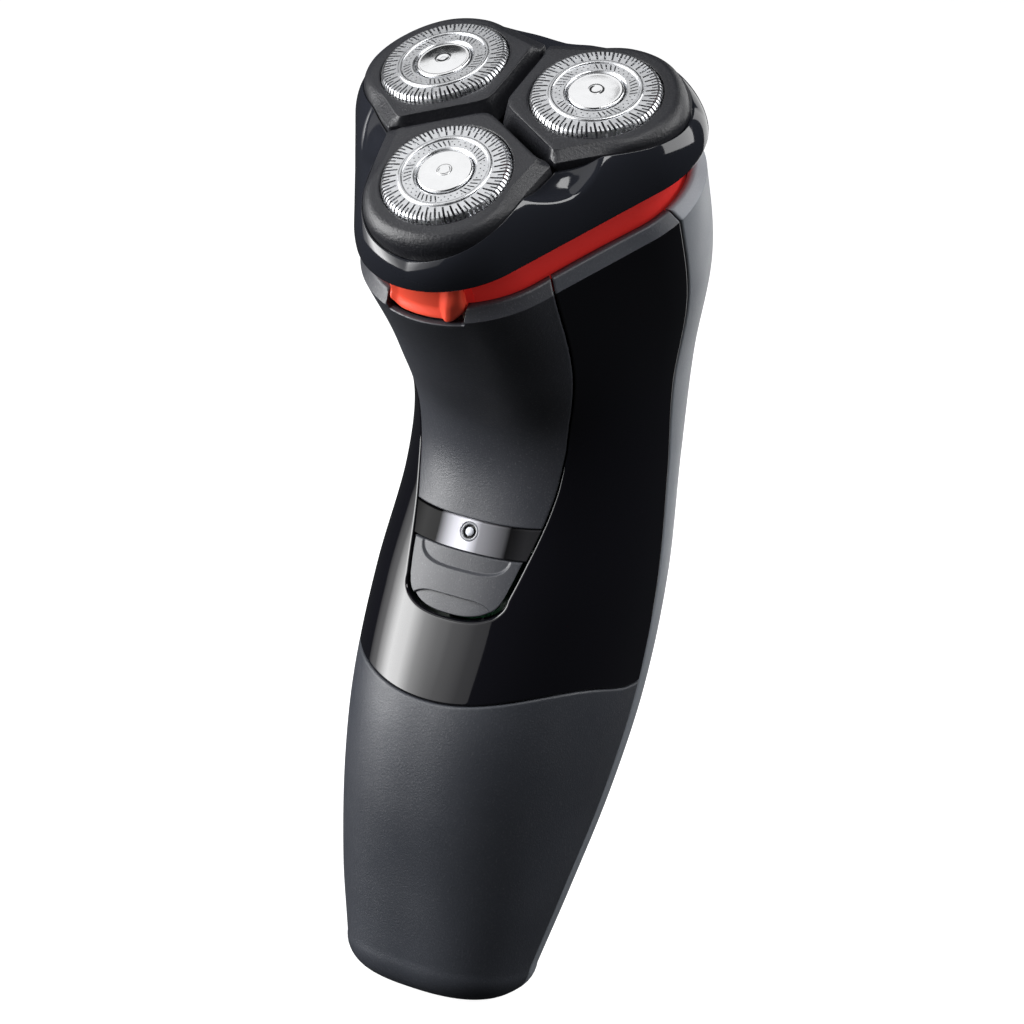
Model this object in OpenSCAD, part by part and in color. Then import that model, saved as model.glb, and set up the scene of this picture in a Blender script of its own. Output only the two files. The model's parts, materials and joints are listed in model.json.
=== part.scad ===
// Cordless rotary electric shaver with three cutter heads.
// Millimetres. +Z up, front of the handle faces -Y, origin at the centre of the
// flat base. The head plane is tilted forward by head_tilt about X, and the
// head's own frame has its origin between the three guards, +Z out of the head.

/* [Handle] */
// Wall of the handle panels
wall = 2.0; // [1.4:0.1:2.4]
// Gap left between neighbouring panels
seam_gap = 0.3; // [0.2:0.05:0.5]
// Side angle at which the rear shell meets the front panels, behind the widest line
rear_seam = 4; // [0:1:10]
// Lowest height of the wavy grip seam, measured along the handle
grip_top = 54; // [48:1:60]
// Height of the waves in the grip seam
grip_wave = 3.6; // [0:0.2:5]

/* [Head] */
// Forward tilt of the head plane
head_tilt = 36; // [34:1:38]
// Distance from the head's centre to each guard's centre
guard_pitch = 16.9; // [16.8:0.1:17]
// Outward lean of each guard
guard_lean = 5.15; // [4:0.05:6]
// Radius of a guard
guard_r = 11.05; // [10.8:0.05:11.15]
// Radius of a guard's centre cap
cap_r = 4.7; // [4:0.1:5]

/* [Drive] */
// Radius of the motor can
motor_r = 11; // [9:0.5:11]

/* [Power] */
// Radius of one battery cell
cell_r = 7; // [6:0.25:7]
// Length of one battery cell
cell_l = 50; // [44:1:50]
// Radius of the charge socket
socket_r = 2.75; // [2:0.25:3]

/* [Hidden] */
$fn = 64;

head_at = [0, -24.8, 158.3];          // head's centre, in the guards' plane
lobe_f = -90;                         // direction of the front guard about the head's axis
lobe_r = 30;                          // right guard
lobe_l = 150;                         // left guard
LOBES = [lobe_f, lobe_r, lobe_l];
eps = 0.01;

// ---- Handle surface -------------------------------------------------------
// Sections along the handle's spine: distance along it, y and z of the widest
// line, tilt, half width, depth to the front, depth to the back, and how far
// the section has turned from a superellipse into the head's rounded triangle.
SECTIONS = [
    [0, -2, 6, 0, 17.3, 13.5, 12.5, 0],
    [14, 0, 20, 2, 20.2, 18, 15, 0],
    [33, 5, 38, 4, 22.8, 26, 16, 0],
    [51, 9, 56, 7, 24.3, 30.4, 17, 0],
    [72, 11.2, 76, 11, 24.4, 29, 18, 0],
    [92, 11.6, 96, 18, 22.7, 25.3, 18.3, 0.05],
    [109, 7.3, 113, 26, 21.4, 22.7, 22.7, 0.25],
    [126, 0.4, 128, 33, 22.5, 26.4, 26.4, 0.6],
    [147, -13.6, 142.9, 36, 24, 26, 26, 1]];
section_power = 2.5;                  // superellipse exponent
collar_rd = 12.3;                     // rounded triangle: corner circles' distance
collar_rc = 20.3;                     // and their radius
rim_s = 147;                          // start of the chamfered rim
rim_end = 150;                        // top of the rim
rim_inset = 1.6;                      // how far the chamfer leans in
rim_rise = 2;                         // and its height
foot_r = 6;                           // height of the rounded bottom edge
foot_in = 0.36;                       // share of the section's radius that it takes up

// Radius of a rounded triangle (three circles of radius rc at distance rd, hulled)
function tri_r(phi, rd, rc) =
    let (a = abs((phi + 870) % 120 - 60),
         at = atan2(rc * sin(60), rd + rc * cos(60)))
    a < at ? rd * cos(a) + sqrt(rc * rc - pow(rd * sin(a), 2)) : (rd / 2 + rc) / cos(60 - a);

function sec_i(s, i = 0) = (i >= len(SECTIONS) - 2 || s < SECTIONS[i + 1][0]) ? i : sec_i(s, i + 1);
function slope(i, k) =
    let (n = len(SECTIONS) - 1, a = max(i - 1, 0), b = min(i + 1, n))
    (SECTIONS[b][k] - SECTIONS[a][k]) / (SECTIONS[b][0] - SECTIONS[a][0]);
// Cubic through the sections, column k
function sec(s, k) =
    let (i = sec_i(s), h = SECTIONS[i + 1][0] - SECTIONS[i][0], t = (s - SECTIONS[i][0]) / h)
    (2 * t * t * t - 3 * t * t + 1) * SECTIONS[i][k] + (t * t * t - 2 * t * t + t) * h * slope(i, k)
    + (3 * t * t - 2 * t * t * t) * SECTIONS[i + 1][k] + (t * t * t - t * t) * h * slope(i + 1, k);

function sec_r(s, phi) =
    let (c = abs(cos(phi)) / sec(s, 4), d = abs(sin(phi)) / (sin(phi) < 0 ? sec(s, 5) : sec(s, 6)),
         e = pow(pow(c, section_power) + pow(d, section_power), -1 / section_power), m = sec(s, 7))
    (1 - m) * e + m * tri_r(phi, collar_rd, collar_rc);

// Point on the handle at distance s along it and angle phi, lying `in` below the surface
function skin(s, phi, in = 0) =
    let (q = min(max(s, 0), rim_s), up = max(s - rim_s, 0) / (rim_end - rim_s),
         dn = max(-s, 0) / foot_r * 90, f = foot_r - in,
         r = sec_r(q, phi) * (1 - foot_in * (1 - cos(dn))) - in * cos(dn) - up * rim_inset,
         t = sec(q, 3))
    [r * cos(phi),
     sec(q, 1) + r * sin(phi) * cos(t) - up * rim_rise * sin(t),
     sec(q, 2) + r * sin(phi) * sin(t) + up * rim_rise * cos(t) - f * sin(dn)];

// The wall is thinner where the rim goes round the hair pocket
function wall_at(s) = s < 138 ? wall : wall - (wall - 1.2) * min((s - 138) / 8, 1);

// Closed shell from a grid of [s, phi] places: an outer face, an inner face and four edges
module shell(g) {
    nu = len(g);
    nv = len(g[0]);
    pts = [for (k = [0, 1]) for (i = [0:nu - 1]) for (j = [0:nv - 1])
        skin(g[i][j][0], g[i][j][1], k * wall_at(g[i][j][0]))];
    function id(k, i, j) = (k * nu + i) * nv + j;
    function quad(a, b, c, d) = [[a, b, c], [a, c, d]];
    skins = [for (i = [0:nu - 2]) for (j = [0:nv - 2]) for (f = concat(
        quad(id(0, i, j), id(0, i, j + 1), id(0, i + 1, j + 1), id(0, i + 1, j)),
        quad(id(1, i, j), id(1, i + 1, j), id(1, i + 1, j + 1), id(1, i, j + 1)))) f];
    ends = [for (i = [0:nu - 2]) for (f = concat(
        quad(id(0, i, 0), id(0, i + 1, 0), id(1, i + 1, 0), id(1, i, 0)),
        quad(id(0, i, nv - 1), id(1, i, nv - 1), id(1, i + 1, nv - 1), id(0, i + 1, nv - 1)))) f];
    sides = [for (j = [0:nv - 2]) for (f = concat(
        quad(id(0, 0, j), id(1, 0, j), id(1, 0, j + 1), id(0, 0, j + 1)),
        quad(id(0, nu - 1, j), id(0, nu - 1, j + 1), id(1, nu - 1, j + 1), id(1, nu - 1, j)))) f];
    polyhedron(points = pts, faces = concat(skins, ends, sides), convexity = 6);
}

function mix(a, b, t) = a + (b - a) * t;
gap_s = seam_gap / 2;                 // half a seam, along the handle
gap_a = seam_gap / 2 * 180 / PI / 22; // and as an angle, at the handle's usual radius

// Grip seam: a shallow wave, lowest at the front and at the rear seams
function grip_seam(a) = grip_top + grip_wave * pow(sin(min(abs(a), 92) * 180 / 92), 2);

// Half angle of the front insert, wide at the collar and narrow at the power button
INSERT = [[76, 20], [83, 24], [91, 29], [97, 32.5], [105, 36], [115, 38], [129, 40], [143, 42], [150, 43]];
function insert_a(s) = s < 76 ? 20 : lookup(s, INSERT);
insert_low = 76;                      // where the rounded bottom of the insert starts
insert_drop = 5.4;                    // its depth
function insert_bottom(u) = insert_low - insert_drop * sqrt(1 - pow(min(abs(u), 1), 2.5));

lens_low = 83.6;                      // edges of the gloss lens strip
lens_high = 89.6;
button_gap = 0.7;                     // gap below the rocking power button
button_side = 1.3;                    // angle left free at each of its sides
notch_a = 14.3;                       // half angle of the notch for the release button
notch_s = 146;                        // bottom of that notch

module lower_grip() color("#3b3e45")
    let (edge = 90 + rear_seam - gap_a, nu = 44, nv = 14, top = -gap_s)
    shell([for (i = [0:nu]) let (a = mix(-edge, edge, i / nu))
        concat([for (j = [0:3]) [mix(-foot_r, 0, j / 4), a - 90]],
               [for (j = [0:nv]) [mix(0, grip_seam(a) + top, j / nv), a - 90]])]);

module rear_shell() color("#858a93")
    let (from = rear_seam + gap_a, nu = 20, nv = 26)
    shell([for (i = [0:nu]) let (phi = mix(from, 180 - from, i / nu))
        concat([for (j = [0:3]) [mix(-foot_r, 0, j / 4), phi]],
               [for (j = [0:nv]) [mix(0, rim_s, j / nv), phi]], [[rim_end, phi]])]);

// The gloss panel is a U: it runs down one side, under the power button and up the other
module gloss_panel() color("#0a090e")
    let (half = 22, nv = 6, turn = 0.6)
    shell([for (i = [-half:half]) let (
        side = sign(i), k = 1 - abs(i) / half,
        th = min(max((k - 0.7) / 0.3, 0), 1) * 90,
        s_in = k < 0.7 ? mix(rim_end, insert_low, k / 0.7) : insert_bottom(cos(th)) - gap_s,
        a_in = (k < 0.7 ? insert_a(s_in) : insert_a(0) * cos(th)) + gap_a,
        a_out = (90 + rear_seam - gap_a) * (k < turn ? 1 : (1 - k) / (1 - turn)),
        s_out = k < turn ? mix(rim_end, grip_seam(92) + gap_s, k / turn) : grip_seam(a_out) + gap_s)
        [for (j = [0:nv]) let (v = j / nv)
            [mix(s_out, s_in, v), side * mix(a_out, a_in * (k == 1 ? 0 : 1), v) - 90]]]);

module front_insert() color("#33353b")
    let (side = notch_a / insert_a(rim_end), foot = side - 0.012, nv = 14,
         na = [-1, -0.8, -0.6, -0.45, -side, -foot, -0.15, 0, 0.15, foot, side, 0.45, 0.6, 0.8, 1])
    shell([for (u = na) let (
        notched = abs(u) < side - eps, top = notched ? notch_s : rim_s,
        end = notched ? notch_s + 0.2 : rim_end)
        concat([for (j = [0:nv]) let (s = mix(lens_high + gap_s, top, j / nv))
                    [s, u * (insert_a(s) - gap_a) - 90]],
               [[end, u * (insert_a(end) - gap_a) - 90]])]);

module lens_strip() color("#101014")
    difference() {
        shell([for (i = [-6:6]) [for (j = [0:2]) let (s = mix(lens_low, lens_high - gap_s, j / 2))
            [s, i / 6 * (insert_a(s) - gap_a) - 90]]]);
        at_led() translate([0, 0, -4]) cylinder(r = 1.75, h = 8);
    }

led_at = [0, -13.35, 84];             // where the lens strip's window sits
led_up = 15;                          // how far the strip's face looks up
module at_led() translate(led_at) rotate([90 - led_up, 0, 0]) children();

module led_window() color("#c8ccd2")
    at_led() {
        translate([0, 0, -1.8]) cylinder(r = 1.65, h = 1.5);
        translate([0, 0, -0.3]) cylinder(r = 1.1, h = 0.5);
    }

press_at = [0, -10.2, 81.2];          // power button's rocking axis, just behind its top edge
module power_button() color("#3a3c43") {
    shell([for (i = [-10:10]) let (u = i / 10, low = insert_bottom(u) + button_gap)
        [for (j = [0:8]) let (s = mix(low, lens_low - 0.35, j / 8))
            [s, u * (insert_a(s) - button_side) - 90]]]);
    translate([-2, -15.8, 71.5]) cube([4, 4.4, 3.4]);
}

// ---- Base and inner frame --------------------------------------------------
socket_y = -5.5;
socket_depth = 9;
module foot_outline(grow) polygon([for (i = [0:63])
    let (phi = i * 360 / 64, r = sec_r(0, phi) * (1 - foot_in) + grow)
    [r * cos(phi), sec(0, 1) + r * sin(phi)]]);

module base_cap() color("#2b2d32")
    difference() {
        union() {
            linear_extrude(2.6) foot_outline(-0.25);
            translate([0, 0, 2.6]) linear_extrude(1.4) foot_outline(1.1);
            translate([0, socket_y, 4 - eps]) cylinder(r = socket_r + 1.1, h = socket_depth - 2.5);
        }
        translate([0, socket_y, -1]) cylinder(r = socket_r, h = socket_depth + 1);
    }

module socket_contacts() color("#c9a24a")
    for (x = [-1.2, 1.2]) translate([x, socket_y, socket_depth + 1.5 + eps]) cylinder(r = 0.5, h = 2.4);

tray_z = 16;
board_y = -8.4;                       // front of the circuit board
board_t = 1.6;
screw_x = 10.5;
screw_z = [67.5, 77.5];
module at_board_screws() for (x = [-screw_x, screw_x]) for (z = screw_z)
    translate([x, board_y, z]) rotate([-90, 0, 0]) children();

module battery_place() for (x = [-cell_r - 0.5, cell_r + 0.5]) translate([x, 1, 0]) children();

module chassis() color("#55585e") {
    difference() {
        translate([-14.4, -7.4, 8]) cube([28.8, 10.4, 2]);
        translate([0, socket_y, 7]) cylinder(r = socket_r + 1.4, h = 4);
    }
    for (x = [-14.8, 13.4]) translate([x, -5, 8]) cube([1.4, 8, 4]);
    for (x = [-15.8, 14.6]) translate([x, -5, 11.3]) cube([1.2, 8, 76.7]);
    // tray that holds the back of the cells
    difference() {
        translate([0, 0, tray_z]) battery_place() cylinder(r = cell_r + 1.3, h = 44);
        battery_place() translate([0, 0, tray_z - 1]) cylinder(r = cell_r + 0.2, h = 46);
        translate([-20, -20, tray_z - 1]) cube([40, 23, 46]);
    }
    for (z = [24, 50]) translate([0, 0, z]) difference() {
        translate([-13.4, 2.5, 0]) cube([26.8, 8.9, 3]);
        battery_place() translate([0, 0, -1]) cylinder(r = cell_r + 0.2, h = 5);
    }
    translate([-9, 11, 24]) cube([18, 1.6, 84]);
    // lugs for the circuit board
    difference() {
        for (x = [-15.6, 9]) for (z = screw_z) translate([x, board_y + board_t, z - 1.5]) cube([6.6, 3.2, 3]);
        at_board_screws() cylinder(r = 0.85, h = 6);
    }
    // cup round the motor's tail
    at_head() difference() {
        translate([0, 0, -64]) cylinder(r = motor_r + 2, h = 12);
        translate([0, 0, -58]) cylinder(r = motor_r + 0.2, h = 12);
    }
}

module battery_cells() color("#3d6ea5")
    battery_place() {
        translate([0, 0, 12.3]) cylinder(r = cell_r, h = cell_l - 1);
        translate([0, 0, 11.3 + cell_l]) cylinder(r = 2.6, h = 1);
    }

module battery_straps() color("#c7c9cc") {
    for (x = [-cell_r - 0.5, cell_r + 0.5]) translate([x - 3, -2, 11.8]) cube([6, 6, 0.5]);
    translate([-cell_r - 3.5, -1.5, 12.3 + cell_l]) cube([2 * cell_r + 7, 5, 0.5]);
}

module circuit_board() color("#1f6b3f")
    difference() {
        translate([-11.5, board_y, 32]) cube([23, board_t, 54]);
        at_board_screws() translate([0, 0, -1]) cylinder(r = 0.95, h = 4);
    }

module board_screws() color("#b8babd")
    at_board_screws() {
        translate([0, 0, -0.9]) cylinder(r = 1.5, h = 0.9);
        translate([0, 0, -eps]) cylinder(r = 0.8, h = 4);
    }

module push_switch() color("#1b1b1d") translate([-3, board_y - 2.4, 70.5]) cube([6, 2.4, 6]);

module status_led() color("#e9f2ff")
    translate([0, board_y, 84]) rotate([90, 0, 0]) cylinder(r = 1.3, h = 1.6);

// ---- Drive ------------------------------------------------------------------
module at_head() translate(head_at) rotate([head_tilt, 0, 0]) children();
module at_lobe(a) at_head() rotate([0, 0, a]) translate([guard_pitch, 0, 0])
    rotate([0, guard_lean, 0]) children();

gear_mod = 0.8;                       // gear module
pinion_teeth = 12;                    // a multiple of three, so that it meets all three gears alike
gear_teeth = 29;                      // an odd number, so that a tooth space faces the pinion
spindle_pitch = gear_mod * (pinion_teeth + gear_teeth) / 2;
gear_z = -22;
gear_h = 2;
module at_spindle(a) at_head() rotate([0, 0, a]) translate([spindle_pitch, 0, 0]) children();
module round_spindles(z) for (a = LOBES) rotate([0, 0, a]) translate([spindle_pitch, 0, z]) children();

// Rounded triangle in the head's plane
module tri2d(rd, rc) polygon([for (a = LOBES) for (e = [-60:6:60])
    [rd * cos(a) + rc * cos(a + e), rd * sin(a) + rc * sin(a + e)]]);
module tri_plate(rd, rc, z0, z1) translate([0, 0, z0]) linear_extrude(z1 - z0) tri2d(rd, rc);

// Spur gear with straight flanks and a little backlash
module gear2d(teeth, turn) {
    pr = gear_mod * teeth / 2;
    p = 360 / teeth;
    root = pr - 1.25 * gear_mod;
    tip = pr + 0.9 * gear_mod;
    rotate([0, 0, turn]) polygon([for (i = [0:teeth - 1]) for (q = [[-0.36, root], [-0.2, pr - 0.1],
        [-0.1, tip], [0.1, tip], [0.2, pr - 0.1], [0.36, root]])
        [q[1] * cos((i + q[0]) * p), q[1] * sin((i + q[0]) * p)]]);
}

module motor_can() color("#b9bcc0")
    at_head() difference() {
        union() {
            translate([0, 0, -56]) cylinder(r = motor_r, h = 31.6);
            translate([0, 0, -24.4 - eps]) cylinder(r = 3, h = 1.4);
        }
        translate([0, 0, -57]) cylinder(r = motor_r - 1, h = 31.4);
        translate([0, 0, -30]) cylinder(r = 1.05, h = 10);
    }

module motor_magnets() color("#3f4044")
    at_head() translate([0, 0, -51]) difference() {
        cylinder(r = motor_r - 1.1, h = 23);
        translate([0, 0, -1]) cylinder(r = motor_r - 2.9, h = 25);
        for (x = [-1, 1]) translate([x * motor_r - 4, -motor_r, -1]) cube([8, 2 * motor_r, 25]);
    }

module motor_end_cap() color("#26272b")
    at_head() difference() {
        union() {
            translate([0, 0, -57.6]) cylinder(r = motor_r, h = 1.6);
            translate([0, 0, -56 - eps]) cylinder(r = motor_r - 1.1, h = 1.4);
        }
        translate([0, 0, -56.8]) cylinder(r = 1.05, h = 4);
    }

module armature() color("#b5743a")
    at_head() difference() {
        union() {
            for (i = [0:2]) rotate([0, 0, 120 * i + 30]) translate([3, -2.2, -49.5]) cube([4, 4.4, 19]);
            translate([0, 0, -54]) cylinder(r = 3, h = 4.5);
            translate([0, 0, -50]) cylinder(r = 4, h = 20);
        }
        translate([0, 0, -60]) cylinder(r = 1, h = 40);
    }

module motor_shaft() color("#d2d4d6") at_head() translate([0, 0, -56.7]) cylinder(r = 1, h = 36.2);

module motor_pinion() color("#e8e4d8")
    at_head() translate([0, 0, gear_z]) linear_extrude(gear_h) difference() {
        gear2d(pinion_teeth, lobe_f);
        circle(r = 1);
    }

module drive_gear(a) color("#e8e4d8")
    at_spindle(a) translate([0, 0, gear_z]) linear_extrude(gear_h) difference() {
        gear2d(gear_teeth, 0);
        circle(r = 1.9);
    }
module drive_gear_f() drive_gear(lobe_f);
module drive_gear_r() drive_gear(lobe_r);
module drive_gear_l() drive_gear(lobe_l);

spindle_top = -5.3;
module spindle(a) color("#d8d4c6")
    at_spindle(a) {
        translate([0, 0, gear_z - 1.9]) cylinder(r = 1.2, h = 1.9);
        translate([0, 0, gear_z]) cylinder(r = 1.9, h = spindle_top - gear_z);
    }
module spindle_f() spindle(lobe_f);
module spindle_r() spindle(lobe_r);
module spindle_l() spindle(lobe_l);

pillar_r = 19;                        // pillars between the gears, in the saddle directions
module at_pillars() for (a = [90, -30, 210]) rotate([0, 0, a]) translate([pillar_r, 0, 0]) children();

module gear_plate() color("#6a6d73")
    at_head() difference() {
        tri_plate(collar_rd, 15.6, -24.2, -22.6);
        translate([0, 0, -25]) cylinder(r = 3.05, h = 4);
        round_spindles(-25) cylinder(r = 1.25, h = 4);
        at_pillars() translate([0, 0, -25]) cylinder(r = 1.1, h = 4);
    }

module plate_screws() color("#b8babd")
    at_head() at_pillars() {
        translate([0, 0, -25.6]) cylinder(r = 2, h = 1.4);
        translate([0, 0, -24.2 - eps]) cylinder(r = 1, h = 4.6);
    }

// ---- Hair pocket and release button -----------------------------------------
pocket_top = -11.3;
pocket_floor = -17.7;
hinge_v = 22.6;                       // hinge pin of the opening head, at the rear saddle
hinge_z = -12.6;
module hair_pocket() color("#b02a2a")
    at_head() difference() {
        union() {
            difference() {
                union() {
                    tri_plate(collar_rd, 16.9, -18.9, -13.5);
                    tri_plate(14, 16.6, -13.8, -12.4);
                    tri_plate(16.8, 15.4, -12.7, pocket_top);
                }
                tri_plate(collar_rd, 15.2, pocket_floor, -10);
            }
            round_spindles(pocket_floor - eps) cylinder(r = 3.2, h = 3.2);
            at_pillars() translate([0, 0, -22.6]) cylinder(r = 2.1, h = 4);
            for (x = [-7.4, 4.4]) translate([x, hinge_v, hinge_z]) {
                rotate([0, 90, 0]) cylinder(r = 1.5, h = 3);
                translate([0, -1.5, -2]) cube([3, 1.6, 2]);
            }
        }
        round_spindles(-20) cylinder(r = 1.98, h = 10);
        at_pillars() translate([0, 0, -23]) cylinder(r = 1.05, h = 3.4);
        // room for the hinge knuckle and its swing
        translate([-4.3, 20.2, -14.6]) cube([8.6, 6, 5]);
        translate([-10, hinge_v, hinge_z]) rotate([0, 90, 0]) cylinder(r = 1.02, h = 20);
        // seat and hole for the release button
        difference() {
            translate([-7.8, -34, -20]) cube([15.6, 12, 7.3]);
            translate([0, -collar_rd, -21]) cylinder(r = 16.2, h = 9);
        }
        translate([-3.4, -30, -16.4]) cube([6.8, 6, 2.6]);
    }

module pocket_gasket() color("#202124")
    at_head() difference() {
        tri_plate(collar_rd, 16, -19.6, -18.9 - eps);
        tri_plate(collar_rd, 15.2, -20, -18);
    }

module hinge_pin() color("#c9ccd0")
    at_head() translate([-7.4, hinge_v, hinge_z]) rotate([0, 90, 0]) cylinder(r = 1, h = 14.8);

tab_r = 18.9;                         // outside of the button's curved tab
tab_half = 7;                         // half its width
module release_button() color("#cc493b")
    at_head() {
        intersection() {
            translate([0, -collar_rd, -19.5]) difference() {
                cylinder(r = tab_r, h = 6.6);
                translate([0, 0, -1]) cylinder(r = 17.6, h = 9);
            }
            translate([-tab_half, -34, -19.5]) cube([2 * tab_half, 10, 6.6]);
        }
        translate([-3, -collar_rd - 18, -16.1]) cube([6, 2.9, 2]);
    }

module button_spring() color("#c9ccd0")
    at_head() for (x = [-5.4, 5.4])
        translate([x, -collar_rd - 16.35, -17.4]) rotate([-90, 0, 0]) difference() {
            cylinder(r = 0.9, h = 0.75);
            translate([0, 0, -1]) cylinder(r = 0.5, h = 3);
        }

// ---- Opening head ------------------------------------------------------------
frame_low = -11;
deck = -7.2;
module head_frame() color("#17181c")
    at_head() difference() {
        union() {
            difference() {
                union() {
                    tri_plate(17, 17, frame_low, -8.6);
                    tri_plate(17, 16.4, -8.9, deck);
                }
                tri_plate(17, 14.8, frame_low - 1, deck - 1.2);
            }
            translate([0, 0, deck - eps]) cylinder(r = 3, h = 1.2);
            translate([-4, hinge_v, hinge_z]) rotate([0, 90, 0]) cylinder(r = 1.5, h = 8);
            translate([-4, hinge_v - 0.2, hinge_z]) cube([8, 1.7, 2]);
            // latch tongue, held by the release button
            translate([-2.6, -32, -10.4]) cube([5.2, 6.9, 1.3]);
            translate([-2.6, -26, -15.6]) cube([5.2, 0.9, 6]);
        }
        round_spindles(-9) cylinder(r = 12.9, h = 4);
        translate([-5, hinge_v, hinge_z]) rotate([0, 90, 0]) cylinder(r = 1.06, h = 10);
        translate([0, 0, -9]) cylinder(r = 1.25, h = 2.2);
    }

module cutter_carrier() color("#4a4c52")
    at_head() difference() {
        union() {
            tri_plate(15.5, 9.2, -10.7, -9.6);
            round_spindles(-9.6 - eps) cylinder(r = 6.6, h = 1);
        }
        round_spindles(-11) cylinder(r = 4.8, h = 4);
        translate([0, 0, -11]) cylinder(r = 1.25, h = 3);
    }

module lock_knob() color("#cc493b")
    at_head() {
        translate([0, 0, -12.9]) cylinder(r = 3.6, h = 2.1);
        translate([-5.4, -1, -12.9]) cube([10.8, 2, 1.6]);
        translate([0, 0, -10.8 - eps]) cylinder(r = 1.2, h = 3.8);
    }

// ---- Cutter heads -------------------------------------------------------------
petal_r = 15;
petal_low = -5.3;
petal_top = -0.9;
petal_step = 2.6;                     // height of the petal's wide lower tier
groove = 1.3;                         // half the groove between two petals
flex_z = -5;                          // depth of the axis on which a head flexes

// Outline of a petal: a circle round the guard, cut by the two grooves
module petal2d(r, cut) intersection() {
    circle(r = r, $fn = 96);
    translate([cut / sin(60) - guard_pitch, 0]) polygon([[0, 0], [20, -20 * tan(60)], [40, -20 * tan(60)],
        [40, 20 * tan(60)], [20, 20 * tan(60)]]);
}

module petal(a) color("#191a1f")
    at_lobe(a) difference() {
        union() {
            translate([0, 0, petal_low]) linear_extrude(petal_step) petal2d(petal_r, groove);
            translate([0, 0, petal_low + petal_step - eps])
                linear_extrude(petal_top - petal_low - petal_step) petal2d(petal_r - 1.3, groove + 0.7);
        }
        translate([0, 0, petal_low - 1]) cylinder(r = guard_r + 0.1, h = 8);
    }
module petal_f() petal(lobe_f);
module petal_r() petal(lobe_r);
module petal_l() petal(lobe_l);

// Guard: outer slotted track, smooth raised ring, inner track, sunk seat for the cap
module guard(a) color("#b3b6bc")
    at_lobe(a) rotate_extrude($fn = 96) polygon([
        [cap_r + 0.1, -1.2], [cap_r + 0.1, -0.5], [5.3, -0.1], [5.4, 0], [7.0, 0], [7.2, 0.25], [7.8, 0.25],
        [8.0, 0], [10.3, 0], [10.9, -0.4], [guard_r, -1], [guard_r, petal_low - 0.1], [12, petal_low - 0.1],
        [12, petal_low - 0.7], [10.5, petal_low - 0.7], [10.5, -0.9], [10.2, -0.6], [5.6, -0.6], [5.4, -1.2]]);
module guard_f() guard(lobe_f);
module guard_r() guard(lobe_r);
module guard_l() guard(lobe_l);

module guard_cap(a) color("#e2e4e8")
    at_lobe(a) rotate_extrude($fn = 64) polygon([
        [0, -1.2], [cap_r, -1.2], [cap_r, -0.1], [cap_r - 0.4, 0.15], [3, 0.3], [2.4, 0.32], [2.2, 0.22], [0, 0.25]]);
module guard_cap_f() guard_cap(lobe_f);
module guard_cap_r() guard_cap(lobe_r);
module guard_cap_l() guard_cap(lobe_l);

module cutter(a) color("#cfd2d6")
    at_lobe(a) {
        difference() {
            translate([0, 0, -3.4]) cylinder(r = 10, h = 0.6);
            translate([0, 0, -4]) cylinder(r = 2.9, h = 2);
        }
        for (i = [0:14]) rotate([0, 0, i * 24]) {
            translate([8.2, -0.2, -2.8 - eps]) cube([1.8, 0.4, 1.8]);
            translate([5.8, -0.2, -2.8 - eps]) cube([1.3, 0.4, 1.8]);
        }
    }
module cutter_f() cutter(lobe_f);
module cutter_r() cutter(lobe_r);
module cutter_l() cutter(lobe_l);

module cutter_hub(a) color("#8f3a8a")
    at_lobe(a) difference() {
        union() {
            translate([0, 0, -3.4]) cylinder(r = 2.85, h = 1);
            translate([0, 0, -6.8]) cylinder(r = 3.8, h = 3.4);
        }
        translate([0, 0, -7]) cylinder(r = 2.5, h = 2.6);
    }
module cutter_hub_f() cutter_hub(lobe_f);
module cutter_hub_r() cutter_hub(lobe_r);
module cutter_hub_l() cutter_hub(lobe_l);

lower_grip();
gloss_panel();
front_insert();
rear_shell();
lens_strip();
led_window();
base_cap();
socket_contacts();
chassis();
battery_cells();
battery_straps();
circuit_board();
board_screws();
push_switch();
status_led();
motor_can();
motor_magnets();
motor_end_cap();
gear_plate();
plate_screws();
hair_pocket();
pocket_gasket();
hinge_pin();
button_spring();
armature();
motor_shaft();
motor_pinion();
drive_gear_f();
drive_gear_r();
drive_gear_l();
spindle_f();
spindle_r();
spindle_l();
power_button();
release_button();
head_frame();
cutter_carrier();
lock_knob();
petal_f();
petal_r();
petal_l();
guard_f();
guard_r();
guard_l();
guard_cap_f();
guard_cap_r();
guard_cap_l();
cutter_f();
cutter_r();
cutter_l();
cutter_hub_f();
cutter_hub_r();
cutter_hub_l();
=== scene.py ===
# A cordless rotary shaver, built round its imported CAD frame, in assembly order.
import json
import math

import bpy
import numpy as np
from mathutils import Matrix, Vector


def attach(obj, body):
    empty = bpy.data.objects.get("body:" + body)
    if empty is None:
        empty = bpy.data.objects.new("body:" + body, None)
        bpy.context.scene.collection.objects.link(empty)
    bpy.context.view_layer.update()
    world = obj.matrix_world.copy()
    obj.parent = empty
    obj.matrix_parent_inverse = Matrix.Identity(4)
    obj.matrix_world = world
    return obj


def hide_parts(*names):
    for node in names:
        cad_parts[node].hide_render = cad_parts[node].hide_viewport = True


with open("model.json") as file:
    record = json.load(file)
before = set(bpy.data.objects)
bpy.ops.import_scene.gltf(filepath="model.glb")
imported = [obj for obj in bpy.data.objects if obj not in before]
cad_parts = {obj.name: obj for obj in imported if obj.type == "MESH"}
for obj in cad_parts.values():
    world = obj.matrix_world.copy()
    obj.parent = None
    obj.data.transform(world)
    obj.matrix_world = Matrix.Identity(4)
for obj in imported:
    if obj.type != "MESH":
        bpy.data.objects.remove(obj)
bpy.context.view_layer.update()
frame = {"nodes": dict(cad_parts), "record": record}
nodes = frame["nodes"]
scene = bpy.context.scene

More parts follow.
